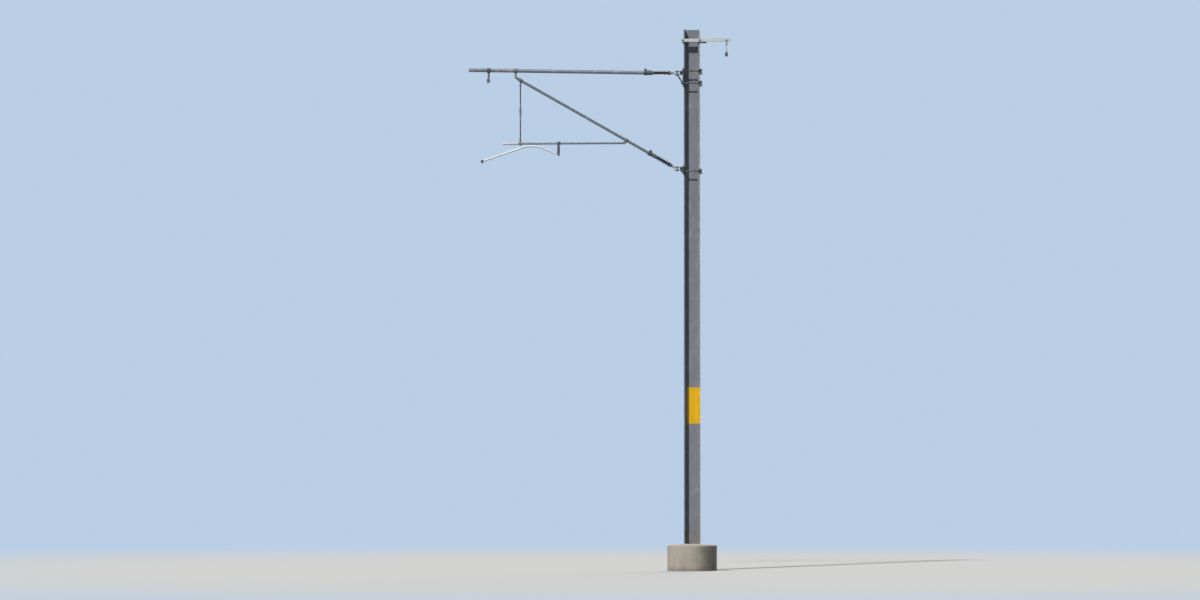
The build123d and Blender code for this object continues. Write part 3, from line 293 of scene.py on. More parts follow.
class Shader:
    """A material built from nodes round one surface shader."""

    def __init__(self, name):
        self.material = bpy.data.materials.new(name)
        self.material.use_nodes = True
        self.tree = self.material.node_tree
        self.surface = self.tree.nodes["Principled BSDF"]
        self.place = self.node("ShaderNodeTexCoord").outputs["Object"]

    def node(self, kind):
        return self.tree.nodes.new(kind)

    def feed(self, socket, value):
        """Links a socket to another one, or sets its value."""
        if isinstance(value, bpy.types.NodeSocket):
            self.tree.links.new(value, socket)
        else:
            socket.default_value = value

    def calculate(self, operation, a, b):
        node = self.node("ShaderNodeMath")
        node.operation = operation
        self.feed(node.inputs[0], a)
        self.feed(node.inputs[1], b)
        return node.outputs[0]

    def add(self, a, b):
        return self.calculate("ADD", a, b)

    def times(self, a, b):
        return self.calculate("MULTIPLY", a, b)

    def opposite(self, value):
        """1 where a mask is 0, and 0 where it is 1."""
        return self.calculate("SUBTRACT", 1.0, value)

    def total(self, first, *parts):
        """A value plus others, each times its weight."""
        for value, weight in parts:
            first = self.add(first, self.times(value, weight))
        return first

    def swing(self, value, amount):
        """A noise value moved to lie round zero, times an amount."""
        return self.times(self.add(value, -0.5), amount)

    def varied(self, start, *parts):
        """A start value plus noise values that lie round zero, each times its amount."""
        for value, amount in parts:
            start = self.add(start, self.swing(value, amount))
        return start

    def ramp(self, value, start, end):
        """0 up to the start and 1 from the end on, smooth between; the end may be lower."""
        node = self.node("ShaderNodeMapRange")
        node.interpolation_type = "SMOOTHSTEP"
        self.feed(node.inputs["Value"], value)
        self.feed(node.inputs["From Min"], start)
        self.feed(node.inputs["From Max"], end)
        return node.outputs["Result"]

    def veil(self, value, start, end, strength):
        """A ramp that ends at a strength instead of at 1."""
        return self.times(self.ramp(value, start, end), strength)

    def noise(self, scale, detail, stretch=None):
        """Noise of a scale per metre, finer or coarser along each axis when stretched."""
        where = self.place
        if stretch:
            mapping = self.node("ShaderNodeMapping")
            self.feed(mapping.inputs["Vector"], self.place)
            mapping.inputs["Scale"].default_value = stretch
            where = mapping.outputs["Vector"]
        node = self.node("ShaderNodeTexNoise")
        self.feed(node.inputs["Vector"], where)
        node.inputs["Scale"].default_value = scale
        node.inputs["Detail"].default_value = detail
        return node.outputs["Fac"]

    def cells(self, scale, output):
        """Cells of a scale per metre, as a colour each or as the distance to their middles."""
        node = self.node("ShaderNodeTexVoronoi")
        self.feed(node.inputs["Vector"], self.place)
        node.inputs["Scale"].default_value = scale
        return node.outputs[output]

    def along(self, axis):
        """The place at rest along X, Y or Z; along Z it is the height above the ground."""
        node = self.node("ShaderNodeSeparateXYZ")
        self.feed(node.inputs[0], self.place)
        return node.outputs[axis]

    def facing_up(self):
        """1 on faces that look up, 0 on upright ones, -1 below."""
        node = self.node("ShaderNodeSeparateXYZ")
        geometry = self.node("ShaderNodeNewGeometry")
        self.feed(node.inputs[0], geometry.outputs["Normal"])
        return node.outputs["Z"]

    def corners(self, distance):
        """1 in the open and less in corners closer than a distance."""
        node = self.node("ShaderNodeAmbientOcclusion")
        node.samples = CORNER_SAMPLES
        node.inputs["Distance"].default_value = distance
        return node.outputs["AO"]

    def edges(self, radius):
        """1 along sharp edges, within a radius, and 0 on flat faces."""
        bevel = self.node("ShaderNodeBevel")
        bevel.samples = EDGE_SAMPLES
        bevel.inputs["Radius"].default_value = radius
        geometry = self.node("ShaderNodeNewGeometry")
        node = self.node("ShaderNodeVectorMath")
        node.operation = "DOT_PRODUCT"
        self.feed(node.inputs[0], bevel.outputs["Normal"])
        self.feed(node.inputs[1], geometry.outputs["Normal"])
        return self.ramp(node.outputs["Value"], EDGE_START, EDGE_FULL)

    def mix(self, share, first, second):
        node = self.node("ShaderNodeMix")
        node.data_type = "RGBA"
        self.feed(node.inputs["Factor"], share)
        self.feed(node.inputs[MIX_FIRST], first)
        self.feed(node.inputs[MIX_SECOND], second)
        return node.outputs[MIX_RESULT]

    def brighter(self, colour, factor):
        node = self.node("ShaderNodeHueSaturation")
        self.feed(node.inputs["Color"], colour)
        self.feed(node.inputs["Value"], factor)
        return node.outputs["Color"]

    def bump(self, height, distance):
        node = self.node("ShaderNodeBump")
        node.inputs["Distance"].default_value = distance
        self.feed(node.inputs["Height"], height)
        return node.outputs["Normal"]

    def finish(self, colour, roughness, normal, metallic=0.0, specular=0.5):
        self.feed(self.surface.inputs["Base Color"], colour)
        self.feed(self.surface.inputs["Roughness"], roughness)
        self.feed(self.surface.inputs["Normal"], normal)
        self.surface.inputs["Metallic"].default_value = metallic
        self.surface.inputs["Specular IOR Level"].default_value = specular
        return self.material


def zinc(shader, colour, spangle, streak, rough):
    """Colour, roughness and surface height of weathered hot-dip zinc, with painted shade in its corners."""
    grain = shader.noise(240, 2)
    patch = shader.noise(2.5, 5)
    runs = shader.noise(22, 4, stretch=(1, 1, 0.06))
    blotch = shader.noise(38, 6)
    cell = shader.cells(75, "Color")
    value = shader.varied(1.0, (cell, spangle), (patch, 0.35), (runs, streak),
                          (blotch, 0.22), (grain, 0.10))
    bloom = shader.veil(shader.noise(7, 6), 0.52, 0.72, 0.30)
    scuff = shader.veil(shader.noise(9, 7, stretch=(1, 1, 3)), 0.66, 0.70, 0.25)
    worn = shader.times(shader.edges(0.003), shader.ramp(blotch, 0.35, 0.60))
    # painted shade: a grime colour darkens the corners and recesses that occlusion finds
    grime_and_corner_shade = shader.veil(shader.corners(0.03), 0.85, 0.35, 0.55)
    tone = shader.brighter(colour, value)
    tone = shader.mix(bloom, tone, ZINC_BLOOM)
    tone = shader.mix(scuff, tone, ZINC_SCUFF)
    tone = shader.mix(shader.times(worn, 0.45), tone, ZINC_WORN)
    tone = shader.mix(grime_and_corner_shade, tone, GRIME_AND_CORNER_SHADE)
    roughness = shader.varied(rough, (grain, 0.25), (cell, 0.16))
    roughness = shader.total(roughness, (bloom, 0.4), (worn, -0.15))
    surface = shader.total(shader.noise(60, 3), (grain, 0.35))
    return tone, roughness, surface


def galvanised(name, colour, spangle=0.12, streak=0.25, rough=0.48, metallic=0.35):
    """Weathered galvanised steel."""
    shader = Shader(name)
    tone, roughness, surface = zinc(shader, colour, spangle, streak, rough)
    return shader.finish(tone, roughness, shader.bump(surface, 0.0006), metallic)


def cast_zinc(name, colour):
    """A galvanised casting, grainy and duller than rolled steel."""
    shader = Shader(name)
    tone, roughness, surface = zinc(shader, colour, spangle=0.10, streak=0.15, rough=0.58)
    surface = shader.total(surface, (shader.noise(420, 3), 0.9))
    return shader.finish(tone, roughness, shader.bump(surface, 0.0009), metallic=0.3)


def band_mask(shader):
    """1 where the yellow band is, with uneven edges and small chips."""
    edge = shader.varied(0.0, (shader.noise(16, 4), 0.022), (shader.noise(90, 2), 0.006))
    level = shader.add(shader.along("Z"), edge)
    side = shader.varied(shader.along("X"), (shader.noise(14, 4), 0.030))
    mask = shader.ramp(level, BAND_LOW - BAND_BLUR, BAND_LOW + BAND_BLUR)
    mask = shader.times(mask, shader.ramp(level, BAND_HIGH + BAND_BLUR, BAND_HIGH - BAND_BLUR))
    mask = shader.times(mask, shader.ramp(side, BAND_LEFT - BAND_SIDE_BLUR,
                                          BAND_LEFT + BAND_SIDE_BLUR))
    chips = shader.ramp(shader.noise(34, 8), 0.70, 0.73)
    return shader.times(mask, shader.opposite(chips))


def post_steel():
    """Matt galvanised steel with a brushed-on yellow band and a splashed foot."""
    shader = Shader("post_steel")
    tone, roughness, surface = zinc(shader, POST_GREY, spangle=0.10, streak=0.16, rough=0.52)
    paint = band_mask(shader)
    brush = shader.noise(60, 4, stretch=(1, 1, 0.05))
    yellow = shader.varied(1.0, (brush, 0.16), (shader.noise(4, 5), 0.25))
    yellow = shader.brighter(BAND_YELLOW, yellow)
    faded = shader.veil(shader.noise(11, 6), 0.50, 0.75, 0.30)
    tone = shader.mix(paint, tone, shader.mix(faded, yellow, BAND_FADED))
    splash = shader.varied(shader.along("Z"), (shader.noise(9, 6), 0.55))
    tone = shader.mix(shader.veil(splash, 0.85, 0.40, 0.30), tone, SPLASHED_EARTH)
    paint_rough = shader.varied(0.42, (brush, 0.2))
    roughness = shader.add(shader.times(roughness, shader.opposite(paint)),
                           shader.times(paint_rough, paint))
    surface = shader.total(surface, (paint, 0.5), (shader.times(brush, paint), 0.4))
    return shader.finish(tone, roughness, shader.bump(surface, 0.0006),
                         metallic=0.02, specular=0.02)


def mould_seam(shader, grain):
    """1 along the broken upright line that the mould left."""
    away = shader.calculate("ABSOLUTE", shader.add(shader.along("X"), SEAM_X), 0.0)
    seam = shader.ramp(shader.varied(away, (grain, 0.004)), 0.006, 0.001)
    seam = shader.times(seam, shader.ramp(shader.noise(14, 4), 0.35, 0.55))
    return shader.times(seam, shader.ramp(shader.facing_up(), 0.5, 0.2))


def air_holes(shader):
    """1 in the small holes that air bubbles left, more of them in some places."""
    size = shader.total(0.03, (shader.noise(21, 2), 0.22))
    holes = shader.ramp(shader.cells(48, "Distance"), size, 0.02)
    return shader.times(holes, shader.ramp(shader.noise(13, 3), 0.44, 0.56))


def stained_and_shaded(shader, tone):
    """A concrete colour with a damp foot, greenish painted shade on its +X side and a pale upper rim."""
    level = shader.varied(shader.along("Z"), (shader.noise(12, 5), 0.07))
    tone = shader.mix(shader.veil(level, 0.075, 0.0, 0.55), tone, CONCRETE_DAMP)
    # painted shade: upright faces towards +X turn a darker greenish grey
    side = shader.varied(shader.along("X"), (shader.noise(6, 5), 0.12))
    upright = shader.veil(shader.facing_up(), 1.2, 0.0, 0.6)
    shaded_side = shader.times(shader.ramp(side, SHADE_START_X, SHADE_FULL_X), upright)
    tone = shader.mix(shaded_side, tone, CONCRETE_SHADED_SIDE)
    rim = shader.veil(level, TOP_OF_FOUNDATION - RIM_HEIGHT, TOP_OF_FOUNDATION, 0.30)
    return shader.mix(rim, tone, CONCRETE_RIM)


def concrete():
    """Weathered cast concrete with air holes, a damp foot, painted shade on its +X side and in its air holes, a
    pale rim and chipped edges.
    """
    shader = Shader("concrete")
    cloud = shader.noise(5, 6)
    fine = shader.noise(140, 4)
    layers = shader.noise(9, 5, stretch=(0.25, 0.25, 2.5))
    lines = shader.noise(14, 5, stretch=(0.45, 0.45, 2.2))
    runs = shader.noise(16, 4, stretch=(1, 1, 0.1))
    value = shader.varied(1.0, (cloud, 0.45), (fine, 0.22), (layers, 0.25), (lines, 0.16),
                          (runs, 0.30))
    seam = mould_seam(shader, fine)
    tint = shader.veil(shader.noise(3.2, 5), 0.48, 0.66, 0.35)
    holes = air_holes(shader)
    chip = shader.times(shader.edges(0.012), shader.ramp(shader.noise(30, 5), 0.45, 0.62))
    tone = shader.brighter(CONCRETE_GREY, value)
    tone = shader.mix(shader.times(seam, 0.45), tone, CONCRETE_SEAM)
    tone = shader.mix(tint, tone, CONCRETE_TINT)
    # painted shade: the air holes are coloured dark where shade lies in them
    tone = shader.mix(shader.times(holes, 0.75), tone, CONCRETE_HOLE_SHADE)
    tone = stained_and_shaded(shader, tone)
    tone = shader.mix(shader.times(chip, 0.5), tone, CONCRETE_CHIP)
    grit = shader.cells(260, "Distance")
    surface = shader.total(0.0, (cloud, 0.5), (fine, 0.35), (grit, 0.15), (holes, -1.2),
                           (layers, 0.4), (lines, 0.3), (seam, -0.5), (chip, -1.0))
    rough = shader.varied(0.86, (fine, 0.15))
    return shader.finish(tone, rough, shader.bump(surface, 0.0022))


def glaze():
    """Dark brown glazed porcelain, dusty on what faces up."""
    shader = Shader("insulator_glaze")
    tone = shader.brighter(GLAZE_BROWN, shader.varied(1.0, (shader.noise(18, 4), 0.45)))
    dust = shader.varied(shader.facing_up(), (shader.noise(40, 5), 0.9))
    dust = shader.veil(dust, 0.45, 1.1, 0.45)
    tone = shader.mix(dust, tone, GLAZE_DUST)
    rough = shader.total(0.26, (dust, 0.9))
    return shader.finish(tone, rough, shader.bump(shader.noise(55, 3), 0.0004))


def satin_aluminium():
    """Drawn aluminium tube, pale, with faint draw lines and dull patches."""
    shader = Shader("satin_aluminium")
    lines = shader.noise(260, 3, stretch=(0.03, 1, 1))
    cloud = shader.noise(6, 5)
    tone = shader.brighter(ALUMINIUM, shader.varied(1.0, (lines, 0.06), (cloud, 0.16)))
    dull = shader.veil(shader.noise(14, 6), 0.55, 0.75, 0.35)
    tone = shader.mix(dull, tone, ALUMINIUM_DULL)
    rough = shader.varied(0.46, (cloud, 0.2))
    return shader.finish(tone, rough, shader.bump(lines, 0.0002), metallic=0.1)


def weathered_bronze():
    """A bronze casting gone brown, with green patches."""
    shader = Shader("weathered_bronze")
    tone = shader.brighter(BRONZE, shader.varied(1.0, (shader.noise(30, 5), 0.6)))
    green = shader.veil(shader.noise(60, 5), 0.52, 0.7, 0.45)
    tone = shader.mix(green, tone, BRONZE_GREEN)
    grain = shader.noise(420, 3)
    rough = shader.varied(0.5, (grain, 0.2))
    return shader.finish(tone, rough, shader.bump(grain, 0.0006), metallic=0.5)


def cement(name, colour, size):
    """Cement or mortar, with grit of a size."""
    shader = Shader(name)
    grain = shader.noise(1 / size, 4)
    cloud = shader.noise(14, 5)
    tone = shader.brighter(colour, shader.varied(1.0, (grain, 0.4), (cloud, 0.4)))
    rough = shader.varied(0.85, (grain, 0.2))
    return shader.finish(tone, rough, shader.bump(shader.add(grain, cloud), size / 7))


MATERIALS = {
    "galvanised_post": post_steel(),
    "galvanised_steel": galvanised("galvanised_steel", display(150, 152, 156)),
    # the tubes' grey is darker than the plain steel, partly their own tone and partly painted shade for their
    # undersides
    "galvanised_tube": galvanised("galvanised_tube", display(122, 126, 134),
                                  spangle=0.08, streak=0.10, rough=0.38),
    "pale_steel": galvanised("pale_steel", display(203, 204, 203),
                             spangle=0.06, streak=0.12, rough=0.5, metallic=0.2),
    "cast_fitting": cast_zinc("cast_fitting", display(128, 130, 134)),
    "insulator_glaze": glaze(),
    "aluminium_arm": satin_aluminium(),
    "bronze_clamp": weathered_bronze(),
    "concrete": concrete(),
}
# painted shade: a darker copy of the cast fittings for the insulator caps and sockets, the saddle, the steady
# bracket and the wire clamps
SHADED_CASTING = cast_zinc("shaded_casting", display(82, 85, 90))
PALE_CASTING = cast_zinc("pale_casting", display(184, 187, 190))
# painted shade: a darker copy of the galvanised steel for the brackets, clamp bars, hanger rods and messenger link
SHADED_STEEL = galvanised("shaded_steel", display(88, 91, 96))
# finishes of single nodes, among them the shaded copies above, which are painted shade
OTHER_FINISHES_AND_SHADED_COPIES = {
    "upper_insulator_inner_cap": SHADED_CASTING,
    "upper_insulator_socket": SHADED_CASTING,
    "lower_insulator_inner_cap": SHADED_CASTING,
    "lower_insulator_socket": SHADED_CASTING,
    "messenger_saddle": SHADED_CASTING,
    "messenger_clamp": SHADED_CASTING,
    "steady_bracket": SHADED_CASTING,
    "suspension_clamp": SHADED_CASTING,
    "upper_swivel_head": PALE_CASTING,
    "lower_swivel_head": PALE_CASTING,
    "hanger_rods": SHADED_STEEL,
    "upper_bracket": SHADED_STEEL,
    "lower_bracket": SHADED_STEEL,
    "upper_clamp_bars": SHADED_STEEL,
    "lower_clamp_bar": SHADED_STEEL,
    "crossarm_back_bar": SHADED_STEEL,
    "messenger_link": SHADED_STEEL,
    "suspension_link": MATERIALS["pale_steel"],
}
BRIGHT_ZINC = galvanised("bright_zinc", display(150, 152, 153),
                         spangle=0.05, streak=0.05, rough=0.36, metallic=0.5)
DARK_ZINC = galvanised("dark_zinc", display(66, 68, 72),
                       spangle=0.08, streak=0.10, rough=0.46, metallic=0.3)
WELD_ZINC = galvanised("weld_zinc", display(136, 138, 142),
                       spangle=0.10, streak=0.05, rough=0.5)
CEMENT = cement("cement", display(150, 147, 140), 0.006)
MORTAR = cement("mortar", display(190, 184, 172), 0.012)


def dress_nodes():
    """Gives every carried-over node its material."""
    slots = {part["node"]: part["material_slot"] for part in frame["record"]["subparts"]}
    for name, node in frame["nodes"].items():
        node.data.materials.clear()
        node.data.materials.append(OTHER_FINISHES_AND_SHADED_COPIES.get(name, MATERIALS[slots[name]]))


# Measuring the frame

def points(node):
    """A node's vertices."""
    return np.array([v.co for v in frame["nodes"][node].data.vertices], float).reshape(-1, 3)


def island(start, left):
    """The vertices joined to a first one, taken out of those left."""
    stack = [start]
    found = []
    while stack:
        vertex = stack.pop()
        found.append(tuple(vertex.co))
        for edge in vertex.link_edges:
            other = edge.other_vert(vertex)
            if other in left:
                left.remove(other)
                stack.append(other)
    return np.array(found, float)


def solids(node):
    """The vertices of each separate solid in a node, in order of place."""
    mesh = bmesh.new()
    mesh.from_mesh(frame["nodes"][node].data)
    bmesh.ops.remove_doubles(mesh, verts=mesh.verts, dist=SAME_POINT)
    left = set(mesh.verts)
    found = []
    while left:
        found.append(island(left.pop(), left))
    mesh.free()
    return sorted(found, key=lambda co: tuple(co.mean(0).round(4)))


class Line:
    """The axis of a straight tube, from the end nearest the post outwards."""

    def __init__(self, node):
        co = points(node)
        middle = (co.min(0) + co.max(0)) / 2
        guess = np.linalg.svd(co - co.mean(0), full_matrices=False)[2][0]
        along = (co - middle) @ guess
        axis = co[along > 0].mean(0) - co[along < 0].mean(0)
        axis /= np.linalg.norm(axis)
        if axis[0] > 0:
            axis = -axis
        along = (co - middle) @ axis
        self.axis = Vector(axis)
        self.start = Vector(middle + axis * along.min())
        self.length = float(along.max() - along.min())
        self.across = self.axis.cross(Y_AXIS).normalized()
        if self.across.z < 0:
            self.across = -self.across
        self.radius = float(self.measure(co)[1].max())

    def at(self, along, across=0.0, side=0.0):
        """A point some way along the axis, up from it and towards +Y."""
        return self.start + self.axis * along + self.across * across + Y_AXIS * side

    def measure(self, co):
        """How far along the axis points lie, and how far from it."""
        offset = co - np.array(self.start)
        along = offset @ np.array(self.axis)
        away = offset - np.outer(along, np.array(self.axis))
        return along, np.linalg.norm(away, axis=1)


LINES = {node: Line(node) for node in ("top_tube", "strut", "registration_tube")}


# Mesh building

def place(origin, axis, guide=None):
    """A matrix whose Z runs along an axis from an origin, and whose X is near a guide."""
    z = Vector(axis).normalized()
    if guide is None:
        guide = Y_AXIS if abs(z.y) < NEARLY_ALONG else X_AXIS
    y = z.cross(guide).normalized()
    x = y.cross(z)
    turn = Matrix((x, y, z)).transposed().to_4x4()
    return Matrix.Translation(origin) @ turn


def rings(bm, matrix, rows):
    """Skins rings of local points and closes both ends."""
    made = [[bm.verts.new(matrix @ Vector(p)) for p in row] for row in rows]
    count = len(made[0])
    for lower, upper in zip(made, made[1:]):
        for i in range(count):
            j = (i + 1) % count
            bm.faces.new((lower[i], lower[j], upper[j], upper[i]))
    bm.faces.new(list(reversed(made[0])))
    bm.faces.new(made[-1])


def circle(radius, height, count=ROUND):
    """Points of one ring."""
    turn = 2 * math.pi / count
    return [(radius * math.cos(i * turn), radius * math.sin(i * turn), height)
            for i in range(count)]


def lathe(bm, matrix, profile, count=ROUND):
    """A turned solid: the profile's radii and heights, closed at both ends."""
    rings(bm, matrix, [circle(r, h, count) for r, h in profile])


def hexagon(bm, matrix, across, height):
    """A hexagonal nut or head with its corners turned down at both ends."""
    inner = across / 2
    base = []
    top = []
    for i in range(HEX_POINTS):
        angle = 2 * math.pi * i / HEX_POINTS
        off = (angle % (math.pi / 3)) - math.pi / 6
        reach = inner / math.cos(off)
        drop = (reach - inner) * HEX_CORNER_DROP
        x = reach * math.cos(angle)
        y = reach * math.sin(angle)
        base.append((x, y, drop))
        top.append((x, y, height - drop))
    face = HEX_FACE * inner
    rings(bm, matrix, [circle(face, 0, HEX_POINTS), base, top,
                       circle(face, height, HEX_POINTS)])


def washer(bm, matrix, diameter):
    """A flat round washer, its own thickness high."""
    r = diameter * WASHER_PER_D / 2
    bevel = WASHER_T / 4
    lathe(bm, matrix, [(r - bevel, 0), (r, bevel), (r, WASHER_T - bevel), (r - bevel, WASHER_T)])


def thread(bm, matrix, diameter, length):
    """A threaded bar with a turned-down tip."""
    pitch = diameter * THREAD_PER_D
    depth = pitch * THREAD_DEPTH
    steps = max(int(length / pitch * STEPS_PER_TURN), STEPS_PER_TURN)
    rows = []
    for k in range(steps + 1):
        height = length * k / steps
        row = []
        for i in range(ROUND):
            phase = (height / pitch - i / ROUND) % 1.0
            r = diameter / 2 - depth * abs(2 * phase - 1)
            angle = 2 * math.pi * i / ROUND
            row.append((r * math.cos(angle), r * math.sin(angle), height))
        rows.append(row)
    rows.append(circle(diameter / 2 - THREAD_TIP * depth, length + depth / 2))
    rings(bm, matrix, rows)


def bolt(bm, start, axis, diameter, grip):
    """A bolt through a grip: head, two washers, nut and threaded end."""
    axis = Vector(axis).normalized()
    across = diameter * ACROSS_PER_D
    head = diameter * HEAD_PER_D
    nut = diameter * NUT_PER_D
    far = start + axis * grip
    tip = far + axis * (WASHER_T + nut * (1 - THREAD_IN_NUT))
    washer(bm, place(start - axis * WASHER_T, axis), diameter)
    hexagon(bm, place(start - axis * (WASHER_T + head), axis), across, head)
    lathe(bm, place(start, axis), [(diameter / 2, 0), (diameter / 2, grip)])
    washer(bm, place(far, axis), diameter)
    hexagon(bm, place(far + axis * WASHER_T, axis), across, nut)
    thread(bm, place(tip, axis), diameter, nut * THREAD_IN_NUT + diameter * SPARE_PER_D)


def tube_along(bm, path, radii, count=BEAD_SIDES):
    """A round wire along a path of points, with a radius for each."""
    made = []
    for i, here in enumerate(path):
        ahead = path[min(i + 1, len(path) - 1)] - path[max(i - 1, 0)]
        matrix = place(here, ahead)
        made.append([matrix @ Vector(p) for p in circle(radii[i], 0, count)])
    rings(bm, Matrix.Identity(4), made)


def ripple(along):
    """How much thicker a weld bead is at a distance along it."""
    return 1 + BEAD_WAVE * math.sin(2 * math.pi * along / BEAD_RIPPLE)


def bead(bm, start, end, radius=BEAD_R):
    """A rippled weld bead between two points, thinner at its ends."""
    length = (end - start).length
    steps = max(int(length / BEAD_STEP), 2)
    path = []
    radii = []
    for i in range(steps + 1):
        along = length * i / steps
        path.append(start.lerp(end, i / steps))
        taper = min(1.0, BEAD_END + min(along, length - along) / (2 * radius))
        radii.append(radius * taper * ripple(along))
    tube_along(bm, path, radii)


def bead_ring(bm, centre, axis, ring_radius):
    """A fine rippled weld bead round a tube."""
    matrix = place(centre, axis)
    count = max(int(2 * math.pi * ring_radius / BEAD_STEP), ROUND)
    rows = []
    for i in range(count):
        turn = 2 * math.pi * i / count
        radius = FINE_BEAD_R * ripple(turn * ring_radius)
        row = []
        for x, z, _ in circle(radius, 0, BEAD_SIDES):
            out = ring_radius + x
            point = Vector((out * math.cos(turn), out * math.sin(turn), z))
            row.append(bm.verts.new(matrix @ point))
        rows.append(row)
    for here, ahead in zip(rows, rows[1:] + rows[:1]):
        for k in range(BEAD_SIDES):
            j = (k + 1) % BEAD_SIDES
            bm.faces.new((here[k], ahead[k], ahead[j], here[j]))


def split_pin(bm, centre, axis, reach, radius):
    """A split pin through a bar: an eye on one side and two bent legs on the other."""
    axis = Vector(axis).normalized()
    side = axis.orthogonal().normalized()
    loop = SPLIT_EYE * radius
    eye = []
    for i in range(SPLIT_EYE_STEPS + 1):
        turn = math.radians(SPLIT_EYE_START + SPLIT_EYE_TURN * i / SPLIT_EYE_STEPS)
        eye.append(centre - axis * (reach + loop + loop * math.cos(turn))
                   + side * loop * math.sin(turn))
    tube_along(bm, eye, [radius] * len(eye), SPLIT_SIDES)
    bends = ((-reach, 0.6), (reach, 0.6), (reach + 2 * radius, 2.0), (reach + 2.5 * radius, 6.0))
    for lean in (-radius, radius):
        leg = [centre + axis * along + side * lean * away for along, away in bends]
        tube_along(bm, leg, [0.8 * radius] * len(leg), SPLIT_SIDES)


def piece(name, body, slot, material, build, *measured, replaces=()):
    """Makes one mesh piece with a build function and fixes it to a body."""
    bm = bmesh.new()
    build(bm, *measured)
    bmesh.ops.recalc_face_normals(bm, faces=bm.faces)
    mesh = bpy.data.meshes.new(name)
    bm.to_mesh(mesh)
    bm.free()
    mesh.shade_smooth()
    mesh.set_sharp_from_angle(angle=SHARP_ANGLE)
    mesh.materials.append(material)
    made = bpy.data.objects.new(name, mesh)
    bpy.context.scene.collection.objects.link(made)
    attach(made, body)
    if replaces:
        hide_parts(*replaces)


# Clamp rods on the post

def stud(bm, co, axis):
    """Rebuilds one rod with two nuts from its solid, with threads and washers."""
    middle = Vector((co.min(0) + co.max(0)) / 2)
    along = (co - np.array(middle)) @ np.array(axis)
    away = np.linalg.norm((co - np.array(middle)) - np.outer(along, np.array(axis)), axis=1)
    tip = float(np.abs(along).max())
    radius = float(away[np.abs(along) > tip - SAME_FACE].max())
    across = 2 * float(away.max()) * math.cos(math.pi / 6)
    nuts = along[away > radius + SAME_END]
    for sign in (-1, 1):
        nut = np.abs(nuts[np.sign(nuts) == sign])
        near = float(nut.min())
        far = float(nut.max())
        inner = near - INNER_THREAD
        out = axis * sign
        washer(bm, place(middle + out * near, out, Z_AXIS), 2 * radius)
        hexagon(bm, place(middle + out * (near + WASHER_T), out, Z_AXIS), across,
                far - near - WASHER_T)
        thread(bm, place(middle + out * inner, out), 2 * radius, tip - inner)
        lathe(bm, place(middle, out), [(radius * SHANK_SHARE, 0), (radius * SHANK_SHARE, inner)])


def build_studs(bm, node, axis):
    """All the rods of a node."""
    for co in solids(node):
        stud(bm, co, axis)


# Bolts of the clamps round the tubes

RING_CLAMPS = {
    "strut_clamp": "top_tube",
    "messenger_saddle": "top_tube",
    "registration_clamp": "strut",
    "hanger_top_clamp": "strut",
    "hanger_foot_clamp": "registration_tube",
    "steady_bracket": "registration_tube",
}


def ring_bolts(bm, node, line):
    """A bolt through each pair of ears of a clamp round a tube."""
    co = points(node)
    along, away = line.measure(co)
    bore = along[away < line.radius + BORE_GAP]
    middle = float(bore.min() + bore.max()) / 2
    across = (co - np.array(line.start)) @ np.array(line.across)
    for side in (-1, 1):
        tip = float((co[:, 1] * side).max())
        ear = across[(co[:, 1] * side > tip - SAME_END) & (np.abs(across) < EAR_HALF_T)]
        if tip < line.radius + EAR_REACH or len(ear) < 3 or np.ptp(ear) > EAR_T:
            continue
        half = float(ear.max())
        start = line.at(middle, half, side * (tip - EAR_BOLT_IN))
        bolt(bm, start, -line.across, M12, 2 * half)


def collar_bolts(bm, node, line):
    """Two bolts across the split ears of an insulator's socket."""
    co = points(node)
    across = (co - np.array(line.start)) @ np.array(line.across)
    top = float(across.max())
    ears = co[across > top - SAME_END]
    along = line.measure(ears)[0]
    half = float(np.abs(ears[:, 1]).max())
    middle = float(along.min() + along.max()) / 2
    spread = float(along.max() - along.min()) / 4
    for shift in (-spread, spread):
        start = line.at(middle + shift, top - COLLAR_BOLT_IN, -half)
        bolt(bm, start, Y_AXIS, M10, 2 * half)


def build_clamp_bolts(bm):
    """The bolts of all clamps and sockets round the tubes."""
    for node, tube in RING_CLAMPS.items():
        ring_bolts(bm, node, LINES[tube])
    collar_bolts(bm, "upper_insulator_socket", LINES["top_tube"])
    collar_bolts(bm, "lower_insulator_socket", LINES["strut"])


# Ends of pins, and small bolts that the frame has as plain bars

def build_pin_ends(bm):
    """A threaded end and a split pin on the nut side of each headed pin along Y."""
    for node in ("upper_head_pin", "lower_head_pin", "strut_clamp_pin", "registration_pin",
                 "steady_pin"):
        low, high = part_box(node)
        centre = (low + high) / 2
        end = Vector((centre.x, high.y, centre.z))
        thread(bm, place(end, Y_AXIS), PIN_THREAD_D, PIN_THREAD)
        split_pin(bm, end + Y_AXIS * PIN_HOLE_OUT, Z_AXIS, PIN_THREAD_D / 2 + PIN_HOLE_SPARE,
                  SPLIT_R)


def build_swivel_split_pins(bm):
    """A split pin under each upright pin."""
    for node in ("upper_swivel_pin", "lower_swivel_pin"):
        low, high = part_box(node)
        centre = Vector(((low.x + high.x) / 2, 0, low.z + SWIVEL_HOLE_UP))
        split_pin(bm, centre, Y_AXIS, SWIVEL_SPLIT_REACH, SWIVEL_SPLIT_R)


def hex_ends(bm, x, z, y_low, y_high, diameter):
    """A bolt's head and nut over the plain ends of a bar along Y."""
    across = diameter * ACROSS_PER_D
    tall = STUB + STUB_COVER - STUB_GAP
    hexagon(bm, place(Vector((x, y_low - STUB_COVER, z)), Y_AXIS), across, tall)
    hexagon(bm, place(Vector((x, y_high + STUB_COVER - tall, z)), Y_AXIS), across, tall)
    thread(bm, place(Vector((x, y_high - STUB_THREAD_IN, z)), Y_AXIS), diameter, STUB_THREAD)


